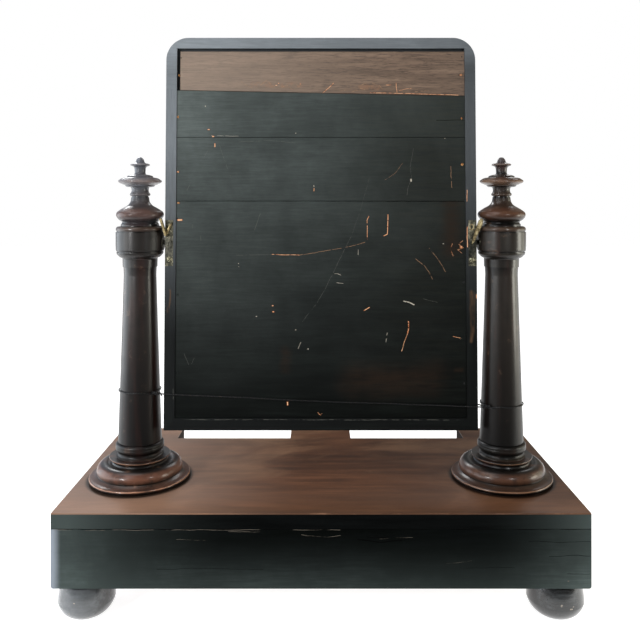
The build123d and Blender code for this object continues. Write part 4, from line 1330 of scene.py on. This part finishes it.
# Iron wire: a loop round each shaft, twisted back on the strand, with a loose tail;
# an end is the start of the strand, the shaft's axis, the loop's radius and the tail
wire = {
    "radius": 0.7,
    "ends": [
        ((-0.1963, 0.06057, 0.2050), (-0.212, 0.042), 24.45, (5.5, 2.0, 3.0)),
        ((0.1964, 0.06001, 0.2210), (0.212, 0.042), 23.95, (4.0, -3.0, 4.0)),
    ],
    "coil": {"radius": 1.42, "turns": 4.5, "from": 2.2, "to": 11.0, "steps": 40},
    "round": {"steps": 48, "first": 3, "last": 45, "waver": 0.12, "rise": 0.0014},
    "strand": {"kinks": 13, "sag": 0.0012, "waver": 0.0005, "out": 0.0002},
}


def hitch(way, place, centre, ring, tail):
    # tail tip, coil towards the shaft, once round the shaft, and to the start of the strand
    end = Vector(place)
    coil, loop = wire["coil"], wire["round"]
    up = (Vector((0, 0, 1)) - way * way.z).normalized()
    out = way.cross(up)
    if out.y < 0:
        out = -out
    points = []
    for step in range(coil["steps"] + 1):
        share = step / coil["steps"]
        run = coil["to"] + (coil["from"] - coil["to"]) * share
        angle = 2 * math.pi * coil["turns"] * share
        around = (up * math.cos(angle) + out * math.sin(angle)) * coil["radius"]
        points.append(end + (way * run + around) / 1000)
    tip, rise, off = tail
    first = points[0]
    points.insert(0, first + (up * rise * 0.35 + way * tip * 0.5 + out * off * 0.3) / 1000)
    points.insert(0, first + (up * rise + way * tip + out * off) / 1000)
    begin = math.atan2(end.y - centre[1], end.x - centre[0])
    turn = 1 if centre[0] < 0 else -1
    for step in range(loop["first"], loop["last"] + 1):
        share = step / loop["steps"]
        angle = begin + turn * 2 * math.pi * share
        radius = (ring + loop["waver"] * math.sin(angle * 3)) / 1000
        x, y = centre[0] + radius * math.cos(angle), centre[1] + radius * math.sin(angle)
        points.append(Vector((x, y, end.z + loop["rise"] * (1 - share) ** 2)))
    points.append(end)
    return points


def wirePath():
    left, right = wire["ends"]
    start, stop = Vector(left[0]), Vector(right[0])
    way = (stop - start).normalized()
    path = hitch(way, *left)
    strand = wire["strand"]
    for step in range(1, strand["kinks"]):
        share = step / strand["kinks"]
        spot = start.lerp(stop, share)
        spot.z += random.uniform(-strand["waver"], strand["waver"]) - strand["sag"] * math.sin(math.pi * share)
        spot.y += random.uniform(0.0, strand["out"])
        path.append(spot)
    return path + list(reversed(hitch(-way, *right)))


def setWire():
    path = wirePath()
    clearSelection()
    bpy.ops.curve.primitive_nurbs_path_add(location=(0, 0, 0))
    made = bpy.context.object
    made.name = "twistedWire"
    spline = made.data.splines[0]
    spline.points.add(len(path) - len(spline.points))
    for point, spot in zip(spline.points, path):
        point.co = (*spot, 1)
    spline.order_u = 3
    spline.use_endpoint_u = True
    made.data.resolution_u = 3
    made.data.bevel_depth = wire["radius"] / 1000
    made.data.bevel_resolution = 2
    made.data.use_fill_caps = True
    bpy.ops.object.convert(target="MESH")
    made = bpy.context.object
    bpy.ops.object.shade_smooth()
    dress(made, "wire", "root")
    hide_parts("tie_wire")


setWire()

# Keyhole in the tablet of the drawer: a small bone surround let into the veneer;
# the round and the stem of the hole stand at (forward, up) from its middle
keyhole = {
    "spot": (0.0, -0.1361, 0.076),
    "surround": [(5.2, 0.0), (5.2, 0.35), (4.8, 0.7), (3.2, 0.7), (2.7, 0.45)],
    "stretch": (1.0, 1.55, 1.0),
    "round": [(1.55, 0.0), (1.55, 0.5), (0.8, 0.5)],
    "roundAt": (0.0004, 0.0016),
    "stem": (0.0013, 0.0007, 0.0054),
    "stemAt": (0.00055, -0.0012),
    "stemEdge": 0.00012,
}


def setKeyhole():
    x, y, z = keyhole["spot"]
    upright = (math.radians(90), 0, 0)
    plate = turned("keyholeSurround", keyhole["surround"], corners=36)
    settle(plate, (x, y, z), upright, keyhole["stretch"])
    dress(plate, "bone", "drawer")
    hole = turned("keyholeRound", keyhole["round"], corners=24)
    forward, up = keyhole["roundAt"]
    settle(hole, (x, y - forward, z + up), upright)
    dress(hole, "hole", "drawer")
    forward, up = keyhole["stemAt"]
    clearSelection()
    bpy.ops.mesh.primitive_cube_add(size=1, location=(x, y - forward, z + up))
    stem = bpy.context.object
    stem.name = "keyholeStem"
    bpy.ops.transform.resize(value=keyhole["stem"])
    edit(True)
    bpy.ops.mesh.bevel(offset=keyhole["stemEdge"], segments=2)
    edit(False)
    bpy.ops.object.transform_apply(location=True, rotation=True, scale=True)
    dress(stem, "hole", "drawer")


setKeyhole()
print("nails, screws, wire and keyhole set")

bpy.context.scene.view_settings.view_transform = "Standard"
